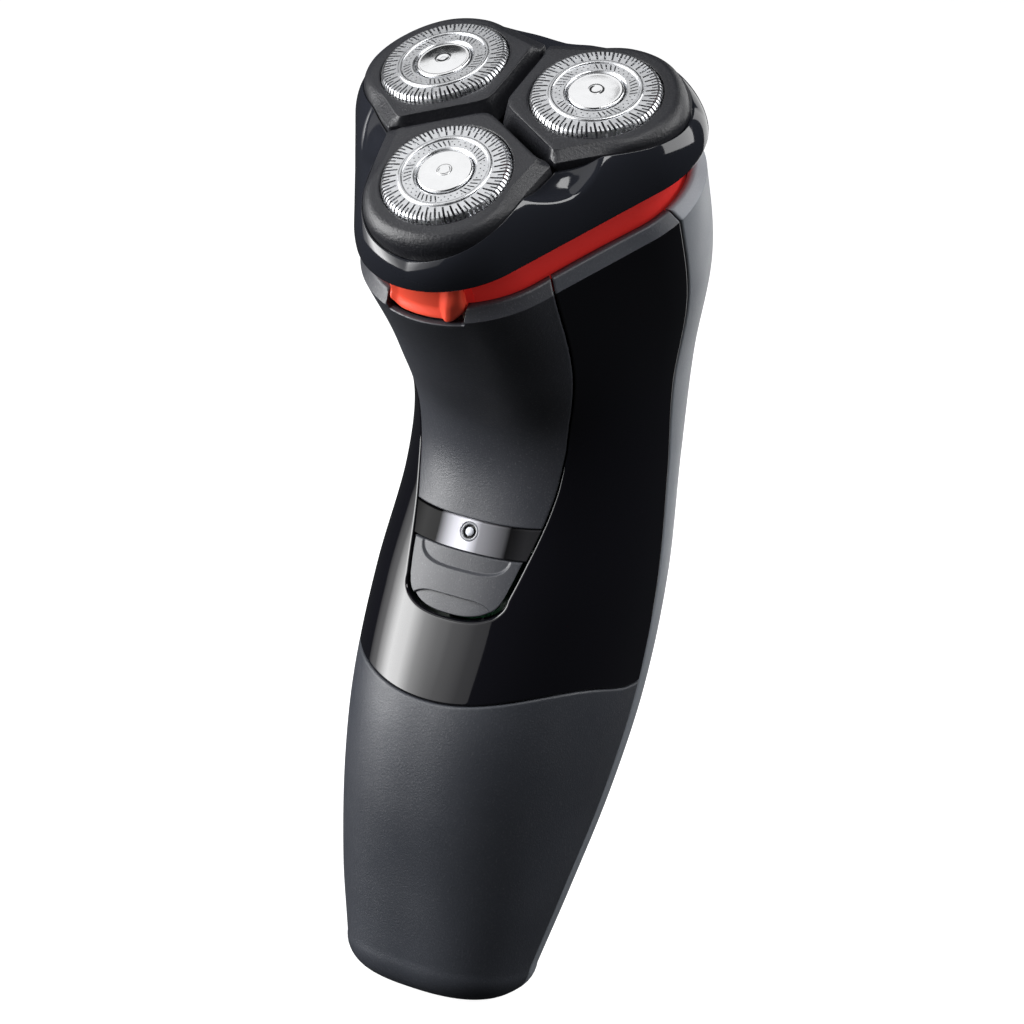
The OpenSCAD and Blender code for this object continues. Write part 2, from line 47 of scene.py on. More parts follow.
# ---------------------------------------------------------------------------
# Studio: a pale floor and backdrop, a long lens a little above the shaver and
# to its right, and soft boxes at the left, the right rear and overhead.
MM = 0.001
aim = Vector((0.0, 0.0012, 0.0854))
cam_az, cam_el, cam_roll = math.radians(27.7), math.radians(13.25), math.radians(7.95)
cam_distance = 0.68
back = Vector((math.sin(cam_az) * math.cos(cam_el), -math.cos(cam_az) * math.cos(cam_el), math.sin(cam_el)))
right = Vector((math.cos(cam_az), math.sin(cam_az), 0.0))
up = back.cross(right)
across = right * math.cos(cam_roll) + up * math.sin(cam_roll)
upward = up * math.cos(cam_roll) - right * math.sin(cam_roll)

cam_data = bpy.data.cameras.new("camera")
cam_data.sensor_width = 36
cam_data.lens = 137
camera = bpy.data.objects.new("camera", cam_data)
camera.matrix_world = Matrix.Translation(aim + back * cam_distance) @ Matrix(
    (across, upward, back)).transposed().to_4x4()
scene.collection.objects.link(camera)
scene.camera = camera
scene.view_settings.view_transform = "Standard"


def soft_box(name, azimuth, elevation, distance, size, power, colour=(1, 1, 1), spread=180):
    a, e = math.radians(azimuth), math.radians(elevation)
    out = Vector((math.sin(a) * math.cos(e), -math.cos(a) * math.cos(e), math.sin(e)))
    data = bpy.data.lights.new(name, "AREA")
    data.shape = "RECTANGLE"
    data.size, data.size_y = size
    data.energy = power
    data.color = colour
    data.spread = math.radians(spread)
    lamp = bpy.data.objects.new(name, data)
    lamp.visible_camera = False
    lamp.location = aim + out * distance
    lamp.rotation_euler = out.to_track_quat("Z", "Y").to_euler()
    scene.collection.objects.link(lamp)
    return lamp


soft_box("rim_rear", 176, 14, 0.9, (0.4, 1.0), 2.0)
soft_box("lobe_light", 114, 34, 0.9, (0.8, 0.55), 6.0)
soft_box("top_light", -70, 64, 0.9, (0.9, 0.6), 1.7)
soft_box("fill_front", 48, 60, 1.4, (0.7, 0.5), 8.5)

world = bpy.data.worlds.new("studio")
world.use_nodes = True
scene.world = world
wn = world.node_tree.nodes
wn.clear()
out_node = wn.new("ShaderNodeOutputWorld")
seen, lit = wn.new("ShaderNodeBackground"), wn.new("ShaderNodeBackground")
seen.inputs["Color"].default_value = (1, 1, 1, 1)
seen.inputs["Strength"].default_value = 1.0
lit.inputs["Color"].default_value = (0.9, 0.95, 1, 1)
lit.inputs["Strength"].default_value = 0.03
pick, path = wn.new("ShaderNodeMixShader"), wn.new("ShaderNodeLightPath")
wl = world.node_tree.links
wl.new(path.outputs["Is Camera Ray"], pick.inputs["Fac"])
wl.new(lit.outputs[0], pick.inputs[1])
wl.new(seen.outputs[0], pick.inputs[2])
wl.new(pick.outputs[0], out_node.inputs["Surface"])


KEY_AZIMUTH, KEY_WIDTH, KEY_HEIGHT = -47, 1.8, 0.9


def new_material(name):
    mat = bpy.data.materials.new(name)
    mat.use_nodes = True
    tree = mat.node_tree
    shader = tree.nodes["Principled BSDF"]
    place = tree.nodes.new("ShaderNodeTexCoord")
    return mat, tree, shader, place.outputs["Object"]


def noise(tree, where, scale, detail=2.0, rough=0.5):
    n = tree.nodes.new("ShaderNodeTexNoise")
    n.inputs["Scale"].default_value = scale
    n.inputs["Detail"].default_value = detail
    n.inputs["Roughness"].default_value = rough
    tree.links.new(where, n.inputs["Vector"])
    return n.outputs["Fac"]


def between(tree, value, low, high, from_low=0.3, from_high=0.7):
    n = tree.nodes.new("ShaderNodeMapRange")
    for key, v in (("From Min", from_low), ("From Max", from_high), ("To Min", low), ("To Max", high)):
        n.inputs[key].default_value = v
    tree.links.new(value, n.inputs["Value"])
    return n.outputs["Result"]


def two_tone(tree, value, dark, light):
    n = tree.nodes.new("ShaderNodeMix")
    n.data_type = "RGBA"
    n.inputs["A"].default_value = (*dark, 1)
    n.inputs["B"].default_value = (*light, 1)
    tree.links.new(value, n.inputs["Factor"])
    return n.outputs["Result"]


floor_mat, tree, shader, where = new_material("floor")
shader.inputs["Roughness"].default_value = 0.7
tree.links.new(two_tone(tree, noise(tree, where, 9), (0.3, 0.3, 0.31), (0.33, 0.33, 0.33)), shader.inputs["Base Color"])
shader.inputs["Emission Color"].default_value = (1, 1, 1, 1)
shader.inputs["Emission Strength"].default_value = 0.97
bpy.ops.mesh.primitive_plane_add(size=30, location=(0, 0, -0.0002))
floor = bpy.context.object
floor.name = "floor"
floor.data.materials.append(floor_mat)
floor.visible_glossy = False
floor.visible_diffuse = False

# the key light is a diffuser lit from behind: brightest in the middle, with a sharp right edge
diffuser_mat, tree, shader, where = new_material("key_diffuser")
axes = tree.nodes.new("ShaderNodeSeparateXYZ")
ramp = tree.nodes.new("ShaderNodeValToRGB")
for place, level in ((0.0, 0.02), (0.2, 0.12), (0.3, 0.45), (0.4, 1.0), (0.51, 0.95), (0.6, 0.4),
                     (0.7, 0.13), (0.85, 0.06), (1.0, 0.05)):
    stop = ramp.color_ramp.elements.new(place) if 0 < place < 1 else ramp.color_ramp.elements[int(place) * -1]
    stop.color = (level, level, level, 1)
glow = tree.nodes.new("ShaderNodeEmission")
glow.inputs["Strength"].default_value = 15.0
tree.links.new(where, axes.inputs[0])
tree.links.new(between(tree, axes.outputs[0], 0, 1, -KEY_WIDTH / 2, KEY_WIDTH / 2), ramp.inputs[0])
tree.links.new(ramp.outputs[0], glow.inputs["Color"])
tree.links.new(glow.outputs[0], tree.nodes["Material Output"].inputs["Surface"])
bpy.ops.mesh.primitive_plane_add(size=1)
diffuser = bpy.context.object
diffuser.name = "key_diffuser"
diffuser.data.transform(Matrix.Diagonal((KEY_WIDTH, KEY_HEIGHT, 1, 1)))
diffuser.data.materials.append(diffuser_mat)
a, e = math.radians(KEY_AZIMUTH), math.radians(11)
out = Vector((math.sin(a) * math.cos(e), -math.cos(a) * math.cos(e), math.sin(e)))
diffuser.location = aim + out * 0.9
diffuser.rotation_euler = out.to_track_quat("Z", "Y").to_euler()
diffuser.visible_camera = False

# ---------------------------------------------------------------------------
# The handle's outside skin: every panel is a moulding cut from one surface,
# lofted through sections of the handle, from a rounded foot to the collar.
SECTIONS = np.array([
    # along, y, z, tilt, half width, depth to front, depth to back, triangle share
    (0, -2, 6, 0, 17.3, 13.5, 12.5, 0),
    (14, 0, 20, 2, 20.2, 18, 15, 0),
    (33, 5, 38, 4, 22.8, 26, 16, 0),
    (51, 9, 56, 7, 24.3, 30.4, 17, 0),
    (72, 11.2, 76, 11, 24.4, 29, 18, 0),
    (92, 11.6, 96, 18, 22.7, 25.3, 18.3, 0.05),
    (109, 7.3, 113, 26, 21.4, 22.7, 22.7, 0.25),
    (126, 0.4, 128, 33, 22.5, 26.4, 26.4, 0.6),
    (147, -13.6, 142.9, 36, 24, 26, 26, 1)], float)
section_power = 2.5
collar_rd, collar_rc = 12.3, 20.3
rim_s, rim_end, rim_inset, rim_rise = 147.0, 150.0, 1.6, 2.0
foot_r, foot_in = 6.0, 0.36
rear_seam = 4.0
wall = 2.0


def tri_r(phi, rd, rc):
    """Radius, at angle phi in degrees, of three circles hulled into a rounded triangle."""
    a = np.abs((phi + 870) % 120 - 60)
    sin60, cos60 = math.sin(math.pi / 3), 0.5
    turn = np.degrees(np.arctan2(rc * sin60, rd + rc * cos60))
    ar = np.radians(a)
    corner = rd * np.cos(ar) + np.sqrt(np.maximum(rc * rc - (rd * np.sin(ar)) ** 2, 0))
    side = (rd / 2 + rc) / np.cos(np.radians(60 - a))
    return np.where(a < turn, corner, side)


def section(s):
    """Cubic through the sections, as an array of columns for each distance s."""
    at = SECTIONS[:, 0]
    n = len(at) - 1
    i = np.clip(np.searchsorted(at, s, side="right") - 1, 0, n - 1)

    def slope(k):
        lo, hi = np.maximum(k - 1, 0), np.minimum(k + 1, n)
        return (SECTIONS[hi] - SECTIONS[lo]) / (at[hi] - at[lo])[..., None]

    h = (at[i + 1] - at[i])[..., None]
    t = (s - at[i])[..., None] / h
    return ((2 * t ** 3 - 3 * t ** 2 + 1) * SECTIONS[i] + (t ** 3 - 2 * t ** 2 + t) * h * slope(i)
            + (3 * t ** 2 - 2 * t ** 3) * SECTIONS[i + 1] + (t ** 3 - t ** 2) * h * slope(i + 1))


def skin(s, phi, deep=0.0):
    """Points on the handle, in mm: s along it, phi round it in degrees, deep below the surface."""
    s, phi, deep = np.broadcast_arrays(np.asarray(s, float), np.asarray(phi, float), np.asarray(deep, float))
    q = section(np.clip(s, 0, rim_s))
    up_rim = np.clip(s - rim_s, 0, None) / (rim_end - rim_s)
    down = np.radians(np.clip(-s, 0, None) / foot_r * 90)
    c, d = np.cos(np.radians(phi)), np.sin(np.radians(phi))
    depth = np.where(d < 0, q[..., 5], q[..., 6])
    oval = ((np.abs(c) / q[..., 4]) ** section_power + (np.abs(d) / depth) ** section_power) ** (-1 / section_power)
    r = (1 - q[..., 7]) * oval + q[..., 7] * tri_r(phi, collar_rd, collar_rc)
    r = r * (1 - foot_in * (1 - np.cos(down))) - deep * np.cos(down) - up_rim * rim_inset
    tilt = np.radians(q[..., 3])
    f = foot_r - deep
    return np.stack([
        r * c,
        q[..., 1] + r * d * np.cos(tilt) - up_rim * rim_rise * np.sin(tilt),
        q[..., 2] + r * d * np.sin(tilt) + up_rim * rim_rise * np.cos(tilt) - f * np.sin(down)], -1)


def wall_at(s):
    return np.where(s < 138, wall, wall - (wall - 1.2) * np.clip((s - 138) / 8, 0, 1))


def make_mesh(name, points, faces, materials=(), smooth=True):
    """An object at the origin from points in mm."""
    mesh = bpy.data.meshes.new(name)
    mesh.from_pydata((np.asarray(points) * MM).tolist(), [], [tuple(int(i) for i in f) for f in faces])
    mesh.update()
    for mat in materials:
        mesh.materials.append(mat)
    mesh.polygons.foreach_set("use_smooth", [smooth] * len(mesh.polygons))
    obj = bpy.data.objects.new(name, mesh)
    scene.collection.objects.link(obj)
    return obj


def grid_faces(nu, nv, start=0, wrap_u=False, wrap_v=False, flip=False):
    i, j = np.meshgrid(np.arange(nu if wrap_u else nu - 1), np.arange(nv if wrap_v else nv - 1), indexing="ij")
    i, j = i.ravel(), j.ravel()
    i2, j2 = (i + 1) % nu, (j + 1) % nv
    f = np.stack([i * nv + j, i2 * nv + j, i2 * nv + j2, i * nv + j2], -1) + start
    return f[:, ::-1] if flip else f


def stops(length, count, lip, first=True, last=True, extra=()):
    """Places from 0 to 1, with close ones near an edge so that its rounding is smooth."""
    close = np.array([0, 0.08, 0.2, 0.4, 0.7, 1.0, 1.6]) * lip / length
    places = list(np.linspace(0, 1, count))
    low, high = (close[-1] * 1.4 if first else 0), (1 - close[-1] * 1.4 if last else 1)
    places = [p for p in places if low < p < high and all(abs(p - e) > 0.5 / count for e in extra)]
    places += list(close if first else [0]) + list(1 - close if last else [1]) + list(extra)
    return np.array(sorted(set(places)))


def panel(name, place, us, vs, mats, lip=0.4, edges=(1, 1, 1, 1), relief=None, rim_band=False):
    """A moulded panel: place(u, v) gives (s, phi); its edges are rounded by lip, and it has a wall."""
    u, v = np.meshgrid(us, vs, indexing="ij")
    s, phi = place(u, v)
    flat = skin(s, phi)
    along_v = np.linalg.norm(np.diff(flat, axis=1), axis=-1)
    along_u = np.linalg.norm(np.diff(flat, axis=0), axis=-1)
    cv = np.concatenate([np.zeros((len(us), 1)), np.cumsum(along_v, 1)], 1)
    cu = np.concatenate([np.zeros((1, len(vs))), np.cumsum(along_u, 0)], 0)
    far = np.full(s.shape, 1e3)
    near = [np.where(e, d, far) for e, d in zip(edges, (cu, cu[-1:] - cu, cv, cv[:, -1:] - cv))]
    d = np.minimum(np.minimum(near[0], near[1]), np.minimum(near[2], near[3]))
    d = np.clip(d, 0, lip)
    drop = lip - np.sqrt(np.maximum(lip * lip - (lip - d) ** 2, 0))
    if relief is not None:
        drop = drop + relief(s, flat)
    depth = wall_at(s)
    outer, inner = skin(s, phi, drop), skin(s, phi, np.maximum(depth, drop + 0.3))
    nu, nv = s.shape
    points = np.concatenate([outer.reshape(-1, 3), inner.reshape(-1, 3)])
    n = nu * nv
    faces = [grid_faces(nu, nv), grid_faces(nu, nv, n, flip=True)]
    ring = np.concatenate([np.arange(nu) * nv, (nu - 1) * nv + np.arange(1, nv),
                           np.arange(nu - 2, -1, -1) * nv + nv - 1, np.arange(nv - 2, 0, -1)])
    nxt = np.roll(ring, -1)
    faces.append(np.stack([ring, ring + n, nxt + n, nxt], -1))
    faces = np.concatenate(faces)
    obj = make_mesh(name, points, faces, mats)
    if rim_band:
        along = np.concatenate([s.ravel(), s.ravel()])[faces].mean(1)
        obj.data.polygons.foreach_set("material_index", (along > rim_s + 0.05).astype(int).tolist())
    return obj


def moulded(name, colour, rough, grain=0.3, bump=0.25, mottle=0.12, painted_highlight_level=0.0, coat=0.0, ior=1.46):
    """A moulding plastic: a spark-eroded grain in mm, faint mottling, worn-smooth patches and painted glints on the
    grain's peaks.
    """
    mat, tree, shader, where = new_material(name)
    fine = noise(tree, where, 1 / (grain * MM), 3, 0.6)
    broad = noise(tree, where, 38, 2)
    dark = tuple(c * (1 - mottle) for c in colour)
    light = tuple(min(c * (1 + mottle), 1) for c in colour)
    base = two_tone(tree, between(tree, broad, 0, 1), dark, light)
    # Painted highlight: light flecks are added to the base colour on the grain's peaks as glints.
    if painted_highlight_level:
        painted_highlight_mix = tree.nodes.new("ShaderNodeMix")
        painted_highlight_mix.data_type = "RGBA"
        painted_highlight_mix.blend_type = "ADD"
        painted_highlight_mix.inputs["B"].default_value = (painted_highlight_level, painted_highlight_level, painted_highlight_level, 1)
        tree.links.new(between(tree, fine, 0, 1, 0.56, 0.72), painted_highlight_mix.inputs["Factor"])
        tree.links.new(base, painted_highlight_mix.inputs["A"])
        base = painted_highlight_mix.outputs["Result"]
    tree.links.new(base, shader.inputs["Base Color"])
    tree.links.new(between(tree, noise(tree, where, 90, 3), rough * 0.88, rough * 1.1), shader.inputs["Roughness"])
    b = tree.nodes.new("ShaderNodeBump")
    b.inputs["Strength"].default_value = bump
    b.inputs["Distance"].default_value = grain * MM * 0.3
    tree.links.new(fine, b.inputs["Height"])
    tree.links.new(b.outputs["Normal"], shader.inputs["Normal"])
    shader.inputs["IOR"].default_value = ior
    shader.inputs["Coat Weight"].default_value = coat
    shader.inputs["Coat Roughness"].default_value = 0.04
    return mat


def grip_seam(a):
    """Height of the wavy seam on top of the grip, a degrees from the front."""
    return 54 + 3.6 * np.sin(np.radians(np.clip(np.abs(a), 0, 92) * 180 / 92)) ** 2


seam = 0.12
seam_a = math.degrees(seam / 22)

# ---------------------------------------------------------------------------
# Lower grip: a charcoal sleeve of soft-touch plastic with a fine eroded grain,
# moulded with its rounded foot, and closed at the rear by the grey shell.
grip_mat = moulded("grip_charcoal", (0.031, 0.034, 0.042), 0.47, 0.32, 0.6, 0.1, 0.02)
edge_a = 90 + rear_seam - seam_a


def grip_place(u, v):
    a = edge_a * (2 * u - 1)
    foot = 0.1
    s = np.where(v < foot, -foot_r * (1 - v / foot), (grip_seam(a) - seam) * (v - foot) / (1 - foot))
    return s, a - 90


grip = panel("grip_sleeve", grip_place, stops(92, 190, 0.4), stops(66, 130, 0.4, first=False),
             [grip_mat], 0.4, (1, 1, 0, 1))
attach(grip, "body")
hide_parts("lower_grip")

# ---------------------------------------------------------------------------
# Rear shell: one long grey moulding from foot to collar, satin with the same
# grain, whose chamfered rim stands round the back of the head.
rear_mat = moulded("rear_grey", (0.2, 0.215, 0.24), 0.42, 0.3, 0.4, 0.08, 0.04)
rim_step = 0.06


def rear_place(u, v):
    foot, top = 0.05, 0.975
    s = np.where(v < foot, -foot_r * (1 - v / foot),
                 np.where(v < top, rim_s * (v - foot) / (top - foot), rim_s + 3 * (v - top) / (1 - top)))
    phi = rear_seam + seam_a + (180 - 2 * rear_seam - 2 * seam_a) * u
    return s, phi


rear = panel("rear_moulding", rear_place, stops(80, 150, 0.4),
             stops(158, 220, 0.4, first=False, extra=(0.974, 0.975, 0.976)), [rear_mat], 0.4, (1, 1, 0, 1))
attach(rear, "body")
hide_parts("rear_shell")

# ---------------------------------------------------------------------------
# Gloss panel: a polished black U that runs down both sides and joins below the
# power button; its high shine comes from the mould, with faint handling haze.
INSERT = np.array([(76, 20), (83, 24), (91, 29), (97, 32.5), (105, 36), (115, 38), (129, 40), (143, 42), (150, 43)])
insert_low, insert_drop = 76.0, 5.4


def insert_a(s):
    return np.interp(s, INSERT[:, 0], INSERT[:, 1])


def insert_bottom(u):
    return insert_low - insert_drop * np.sqrt(np.maximum(1 - np.abs(u) ** 2.5, 0))


def polished(name, colour, rough=0.035, haze=0.05, ior=1.5):
    mat, tree, shader, where = new_material(name)
    smear = noise(tree, where, 70, 4, 0.6)
    tree.links.new(two_tone(tree, noise(tree, where, 30), colour, tuple(c * 1.3 for c in colour)), shader.inputs["Base Color"])
    tree.links.new(between(tree, smear, rough, rough + haze, 0.45, 0.8), shader.inputs["Roughness"])
    b = tree.nodes.new("ShaderNodeBump")
    b.inputs["Strength"].default_value = 0.02
    b.inputs["Distance"].default_value = 0.00005
    tree.links.new(noise(tree, where, 500), b.inputs["Height"])
    tree.links.new(b.outputs["Normal"], shader.inputs["Normal"])
    shader.inputs["IOR"].default_value = ior
    return mat


gloss_mat = polished("panel_gloss_black", (0.0035, 0.0035, 0.005))
k_rim, k_low, k_turn = 0.03, 0.7, 0.6


def gloss_place(u, v):
    side = np.where(u < 0.5, -1.0, 1.0)
    k = 1 - np.abs(2 * u - 1)
    th = np.radians(np.clip((k - k_low) / (1 - k_low), 0, 1) * 90)
    rim = rim_end - 3 * np.clip(k / k_rim, 0, 1)
    s_in = np.where(k < k_rim, rim, rim_s + (insert_low - rim_s) * (k - k_rim) / (k_low - k_rim))
    s_in = np.where(k < k_low, s_in, insert_bottom(np.cos(th)) - seam)
    a_in = np.where(k < k_low, insert_a(s_in), 20 * np.cos(th)) + seam_a * np.minimum(1, (1 - k) * 8)
    a_out = edge_a * np.where(k < k_turn, 1, (1 - k) / (1 - k_turn))
    corner = grip_seam(92.0) + seam
    s_out = np.where(k < k_rim, rim, rim_s + (corner - rim_s) * (k - k_rim) / (k_turn - k_rim))
    s_out = np.where(k < k_turn, s_out, grip_seam(a_out) + seam)
    return s_out + (s_in - s_out) * v, side * (a_out + (a_in - a_out) * v) - 90


half_rim, half_turn = k_rim / 2, k_turn / 2
marks = [half_rim - 0.0005, half_rim, half_rim + 0.0005, half_turn]
gloss_u = stops(260, 420, 0.4, extra=marks + [1 - m for m in marks] + [0.5])
rim_mat = moulded("rim_satin_grey", (0.04, 0.044, 0.054), 0.4, 0.3, 0.4, 0.1, 0.02)
gloss = panel("gloss_surround", gloss_place, gloss_u, stops(22, 60, 0.4), [gloss_mat, rim_mat], 0.35, rim_band=True)
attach(gloss, "body")
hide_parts("gloss_panel")

# ---------------------------------------------------------------------------
# Front insert: a textured dark shield between the gloss wings, from the lens
# strip to the collar, with a notch in its rim for the release button.
insert_mat = moulded("insert_graphite", (0.034, 0.036, 0.043), 0.4, 0.3, 0.45, 0.12, 0.035)
lens_low, lens_high = 83.6, 89.6
notch_u, notch_s = 14.3 / 43, 146.0


def insert_place(u, v):
    w = 2 * u - 1
    ramp = np.clip((np.abs(w) - notch_u + 0.02) / 0.02, 0, 1)
    top = notch_s + (rim_s - notch_s) * ramp
    end = notch_s + 0.25 + (rim_end - notch_s - 0.25) * ramp
    s = np.where(v < 0.95, lens_high + seam + (top - lens_high - seam) * v / 0.95, top + (end - top) * (v - 0.95) / 0.05)
    return s, w * (insert_a(s) - seam_a) - 90


nu_low, nu_high = (1 - notch_u) / 2, (1 + notch_u) / 2
insert_u = stops(36, 110, 0.4, extra=[nu_low - 0.001, nu_low + 0.002, nu_low + 0.006, nu_low + 0.011,
                                      nu_high + 0.001, nu_high - 0.002, nu_high - 0.006, nu_high - 0.011])
insert = panel("front_shield", insert_place, insert_u, stops(60, 130, 0.4, extra=(0.949, 0.95, 0.951)),
               [insert_mat], 0.35)
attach(insert, "body")
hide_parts("front_insert")

# ---------------------------------------------------------------------------
# Lens strip: a band of polished smoked plastic across the front, bored for the
# light window, which is a clear dome in a black bezel ring.
lens_mat = polished("lens_smoked_painted_reflection", (0.004, 0.004, 0.006), 0.03, 0.03)
tree = lens_mat.node_tree
# Painted reflection: the lens's base colour is a ramp across it that stands in for the key light's reflection. It is
# dark at both ends, brightest just left of the middle, and has a dark stripe towards the right. Its specular is turned
# almost off.
tree.nodes["Principled BSDF"].inputs["Specular IOR Level"].default_value = 0.03
axes, painted_reflection_ramp = tree.nodes.new("ShaderNodeSeparateXYZ"), tree.nodes.new("ShaderNodeValToRGB")
for place, level in ((0.0, 0.002), (0.2, 0.003), (0.34, 0.5), (0.47, 0.8), (0.6, 0.2), (0.82, 0.06), (0.86, 0.004), (1.0, 0.02)):
    stop = painted_reflection_ramp.color_ramp.elements.new(place) if 0 < place < 1 else painted_reflection_ramp.color_ramp.elements[int(place) * -1]
    stop.color = (level, level, level * 1.08, 1)
tree.links.new(tree.nodes.new("ShaderNodeTexCoord").outputs["Object"], axes.inputs[0])
tree.links.new(between(tree, axes.outputs[0], 0, 1, -10.4 * MM, 10.4 * MM), painted_reflection_ramp.inputs[0])
tree.links.new(painted_reflection_ramp.outputs[0], tree.nodes["Principled BSDF"].inputs["Base Color"])


def lens_place(u, v):
    s = lens_low + (lens_high - seam - lens_low) * v
    return s, (2 * u - 1) * (insert_a(s) - seam_a) - 90


lens = panel("lens_band", lens_place, stops(24, 80, 0.2), stops(6, 26, 0.2), [lens_mat], 0.18)
led_at = Vector((0, -13.35, 84)) * MM
to_led = Matrix.Translation(led_at) @ Matrix.Rotation(math.radians(75), 4, "X")


def lathe(name, profile, mats, turns=72, place=Matrix.Identity(4), bands=None, closed=False):
    """A turned piece: profile is (radius, height) in mm, from the foot of the outside inwards over the top."""
    profile = np.array(profile, float)
    a = np.linspace(0, 2 * math.pi, turns, endpoint=False)
    p = np.stack([profile[None, :, 0] * np.cos(a)[:, None], profile[None, :, 0] * np.sin(a)[:, None],
                  np.broadcast_to(profile[None, :, 1], (turns, len(profile)))], -1).reshape(-1, 3)
    obj = make_mesh(name, p, grid_faces(turns, len(profile), wrap_u=True, wrap_v=closed), mats)
    if bands:
        per = len(profile) if closed else len(profile) - 1
        ids = np.tile(np.array([bands[j] for j in range(per)]), turns)
        grid = grid_faces(turns, len(profile), wrap_u=True, wrap_v=closed)
        obj.data.polygons.foreach_set("material_index", [int(x) for x in ids[:len(grid)]])
    merge(obj)
    obj.data.transform(place)
    return obj


def merge(obj, distance=1e-7):
    import bmesh
    bm = bmesh.new()
    bm.from_mesh(obj.data)
    bmesh.ops.remove_doubles(bm, verts=bm.verts, dist=distance)
    bmesh.ops.recalc_face_normals(bm, faces=bm.faces)
    bm.to_mesh(obj.data)
    bm.free()


def cut(obj, *tools):
    """Bores obj with the tool meshes, then drops the tools."""
    for tool in tools:
        m = obj.modifiers.new("bore", "BOOLEAN")
        m.operation = "DIFFERENCE"
        m.solver = "EXACT"
        m.object = tool
        dg = bpy.context.evaluated_depsgraph_get()
        mesh = bpy.data.meshes.new_from_object(obj.evaluated_get(dg))
        obj.modifiers.remove(m)
        old = obj.data
        obj.data = mesh
        bpy.data.meshes.remove(old)
        bpy.data.objects.remove(tool)


cut(lens, lathe("led_drill", [(0, -4), (1.75, -4), (1.75, 4), (0, 4)], [], 48, to_led))
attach(lens, "body")
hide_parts("lens_strip")

bezel_mat = polished("bezel_grey", (0.16, 0.165, 0.18), 0.12, 0.06)
pit_mat = moulded("window_pit", (0.004, 0.004, 0.005), 0.5)
dome_mat = polished("window_dome", (0.55, 0.57, 0.62), 0.08, 0.04)
window = lathe("light_window", [(1.7, -1.8), (1.7, -0.12), (1.62, -0.02), (1.3, 0.02), (1.22, -0.1), (1.15, -0.45),
                                (0.82, -0.45), (0.8, -0.1), (0.6, 0.08), (0.3, 0.17), (0, 0.19)],
               [bezel_mat, pit_mat, dome_mat], 64, to_led, [0, 0, 0, 0, 1, 1, 1, 2, 2, 2])
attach(window, "body")
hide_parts("led_window")

# ---------------------------------------------------------------------------
# Power button: the textured lower end of the shield. It rocks about its top
# edge; a scoop under the lens and a half-moon at its foot leave a raised ridge.
button_gap, button_side = 0.7, 1.3


def button_place(u, v):
    w = 2 * u - 1
    low = insert_bottom(w) + button_gap
    s = low + (lens_low - 0.3 - low) * v
    return s, w * (insert_a(s) - button_side) - 90


def step(x):
    t = np.clip(x, 0, 1)
    return t * t * (3 - 2 * t)


def button_relief(s, p):
    x = np.abs(p[..., 0])
    inside = 1 - ((x / 8.9) ** 4 + (np.clip(lens_low - s, 0, None) / 3.9) ** 2.4)
    scoop = step(inside / 0.16) * (0.22 + 0.4 * np.clip((lens_low - s) / 3.9, 0, 1))
    moon_top = 75.0 - 3.0 * np.clip(x / 8.8, 0, 1.2) ** 5
    moon = step((moon_top - s) / 0.28) * 0.62 * np.clip((s - 69.6) / 5.2, 0, 1)
    return scoop + moon


button = panel("rocker_button", button_place, stops(22, 150, 0.3), stops(12, 110, 0.3), [insert_mat], 0.3,
               relief=button_relief)
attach(button, "power")
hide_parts("power_button")

# ---------------------------------------------------------------------------
# Hair pocket: the red moulding under the head, a rounded-triangle pot that
# flares at its lip. It is screwed down on the gear plate by three pillars.
head_at = Vector((0, -24.8, 158.3)) * MM
head_tilt = math.radians(36)
guard_pitch, guard_lean = 16.9, math.radians(5.15)
spindle_pitch = 16.4
LOBES = {"f": -90, "r": 30, "l": 150}
SADDLES = (90, -30, 210)
at_head = Matrix.Translation(head_at) @ Matrix.Rotation(head_tilt, 4, "X")


def at_lobe(degrees):
    return (at_head @ Matrix.Rotation(math.radians(degrees), 4, "Z")
            @ Matrix.Translation((guard_pitch * MM, 0, 0)) @ Matrix.Rotation(guard_lean, 4, "Y"))


def tri_loft(name, profile, mats, turns=288, closed=False):
    """A rounded-triangle turning: profile is (corner distance, corner radius, height) in mm."""
    phi = np.linspace(0, 360, turns, endpoint=False)
    r = np.stack([tri_r(phi, rd, rc) for rd, rc, _ in profile], 1)
    z = np.broadcast_to([p[2] for p in profile], r.shape)
    t = np.radians(phi)[:, None]
    points = np.stack([r * np.cos(t), r * np.sin(t), z], -1).reshape(-1, 3)
    obj = make_mesh(name, points, grid_faces(turns, len(profile), wrap_u=True, wrap_v=closed), mats)
    merge(obj)
    return obj


def prism(name, outline, z0, z1, mats=(), smooth=False):
    """A straight piece with the given outline, in mm."""
    n = len(outline)
    points = [(x, y, z0) for x, y in outline] + [(x, y, z1) for x, y in outline]
    faces = [tuple(range(n))[::-1], tuple(range(n, 2 * n))]
    faces += [(i, (i + 1) % n, n + (i + 1) % n, n + i) for i in range(n)]
    obj = make_mesh(name, points, faces, mats, smooth)
    merge(obj)
    return obj


def block(name, low, high, mats=(), bevel=0.2):
    """A box between two corners in mm, with its edges rounded."""
    import bmesh
    obj = prism(name, [(low[0], low[1]), (high[0], low[1]), (high[0], high[1]), (low[0], high[1])], low[2], high[2], mats)
    if bevel:
        bm = bmesh.new()
        bm.from_mesh(obj.data)
        bmesh.ops.bevel(bm, geom=bm.edges[:], offset=bevel * MM, segments=2, affect="EDGES", profile=0.5)
        bm.to_mesh(obj.data)
        bm.free()
    return obj


def join(main, *others):
    """Adds the other meshes to main's."""
    import bmesh
    bm = bmesh.new()
    bm.from_mesh(main.data)
    for other in others:
        bm.from_mesh(other.data)
        bpy.data.objects.remove(other)
    bm.to_mesh(main.data)
    bm.free()
    return main


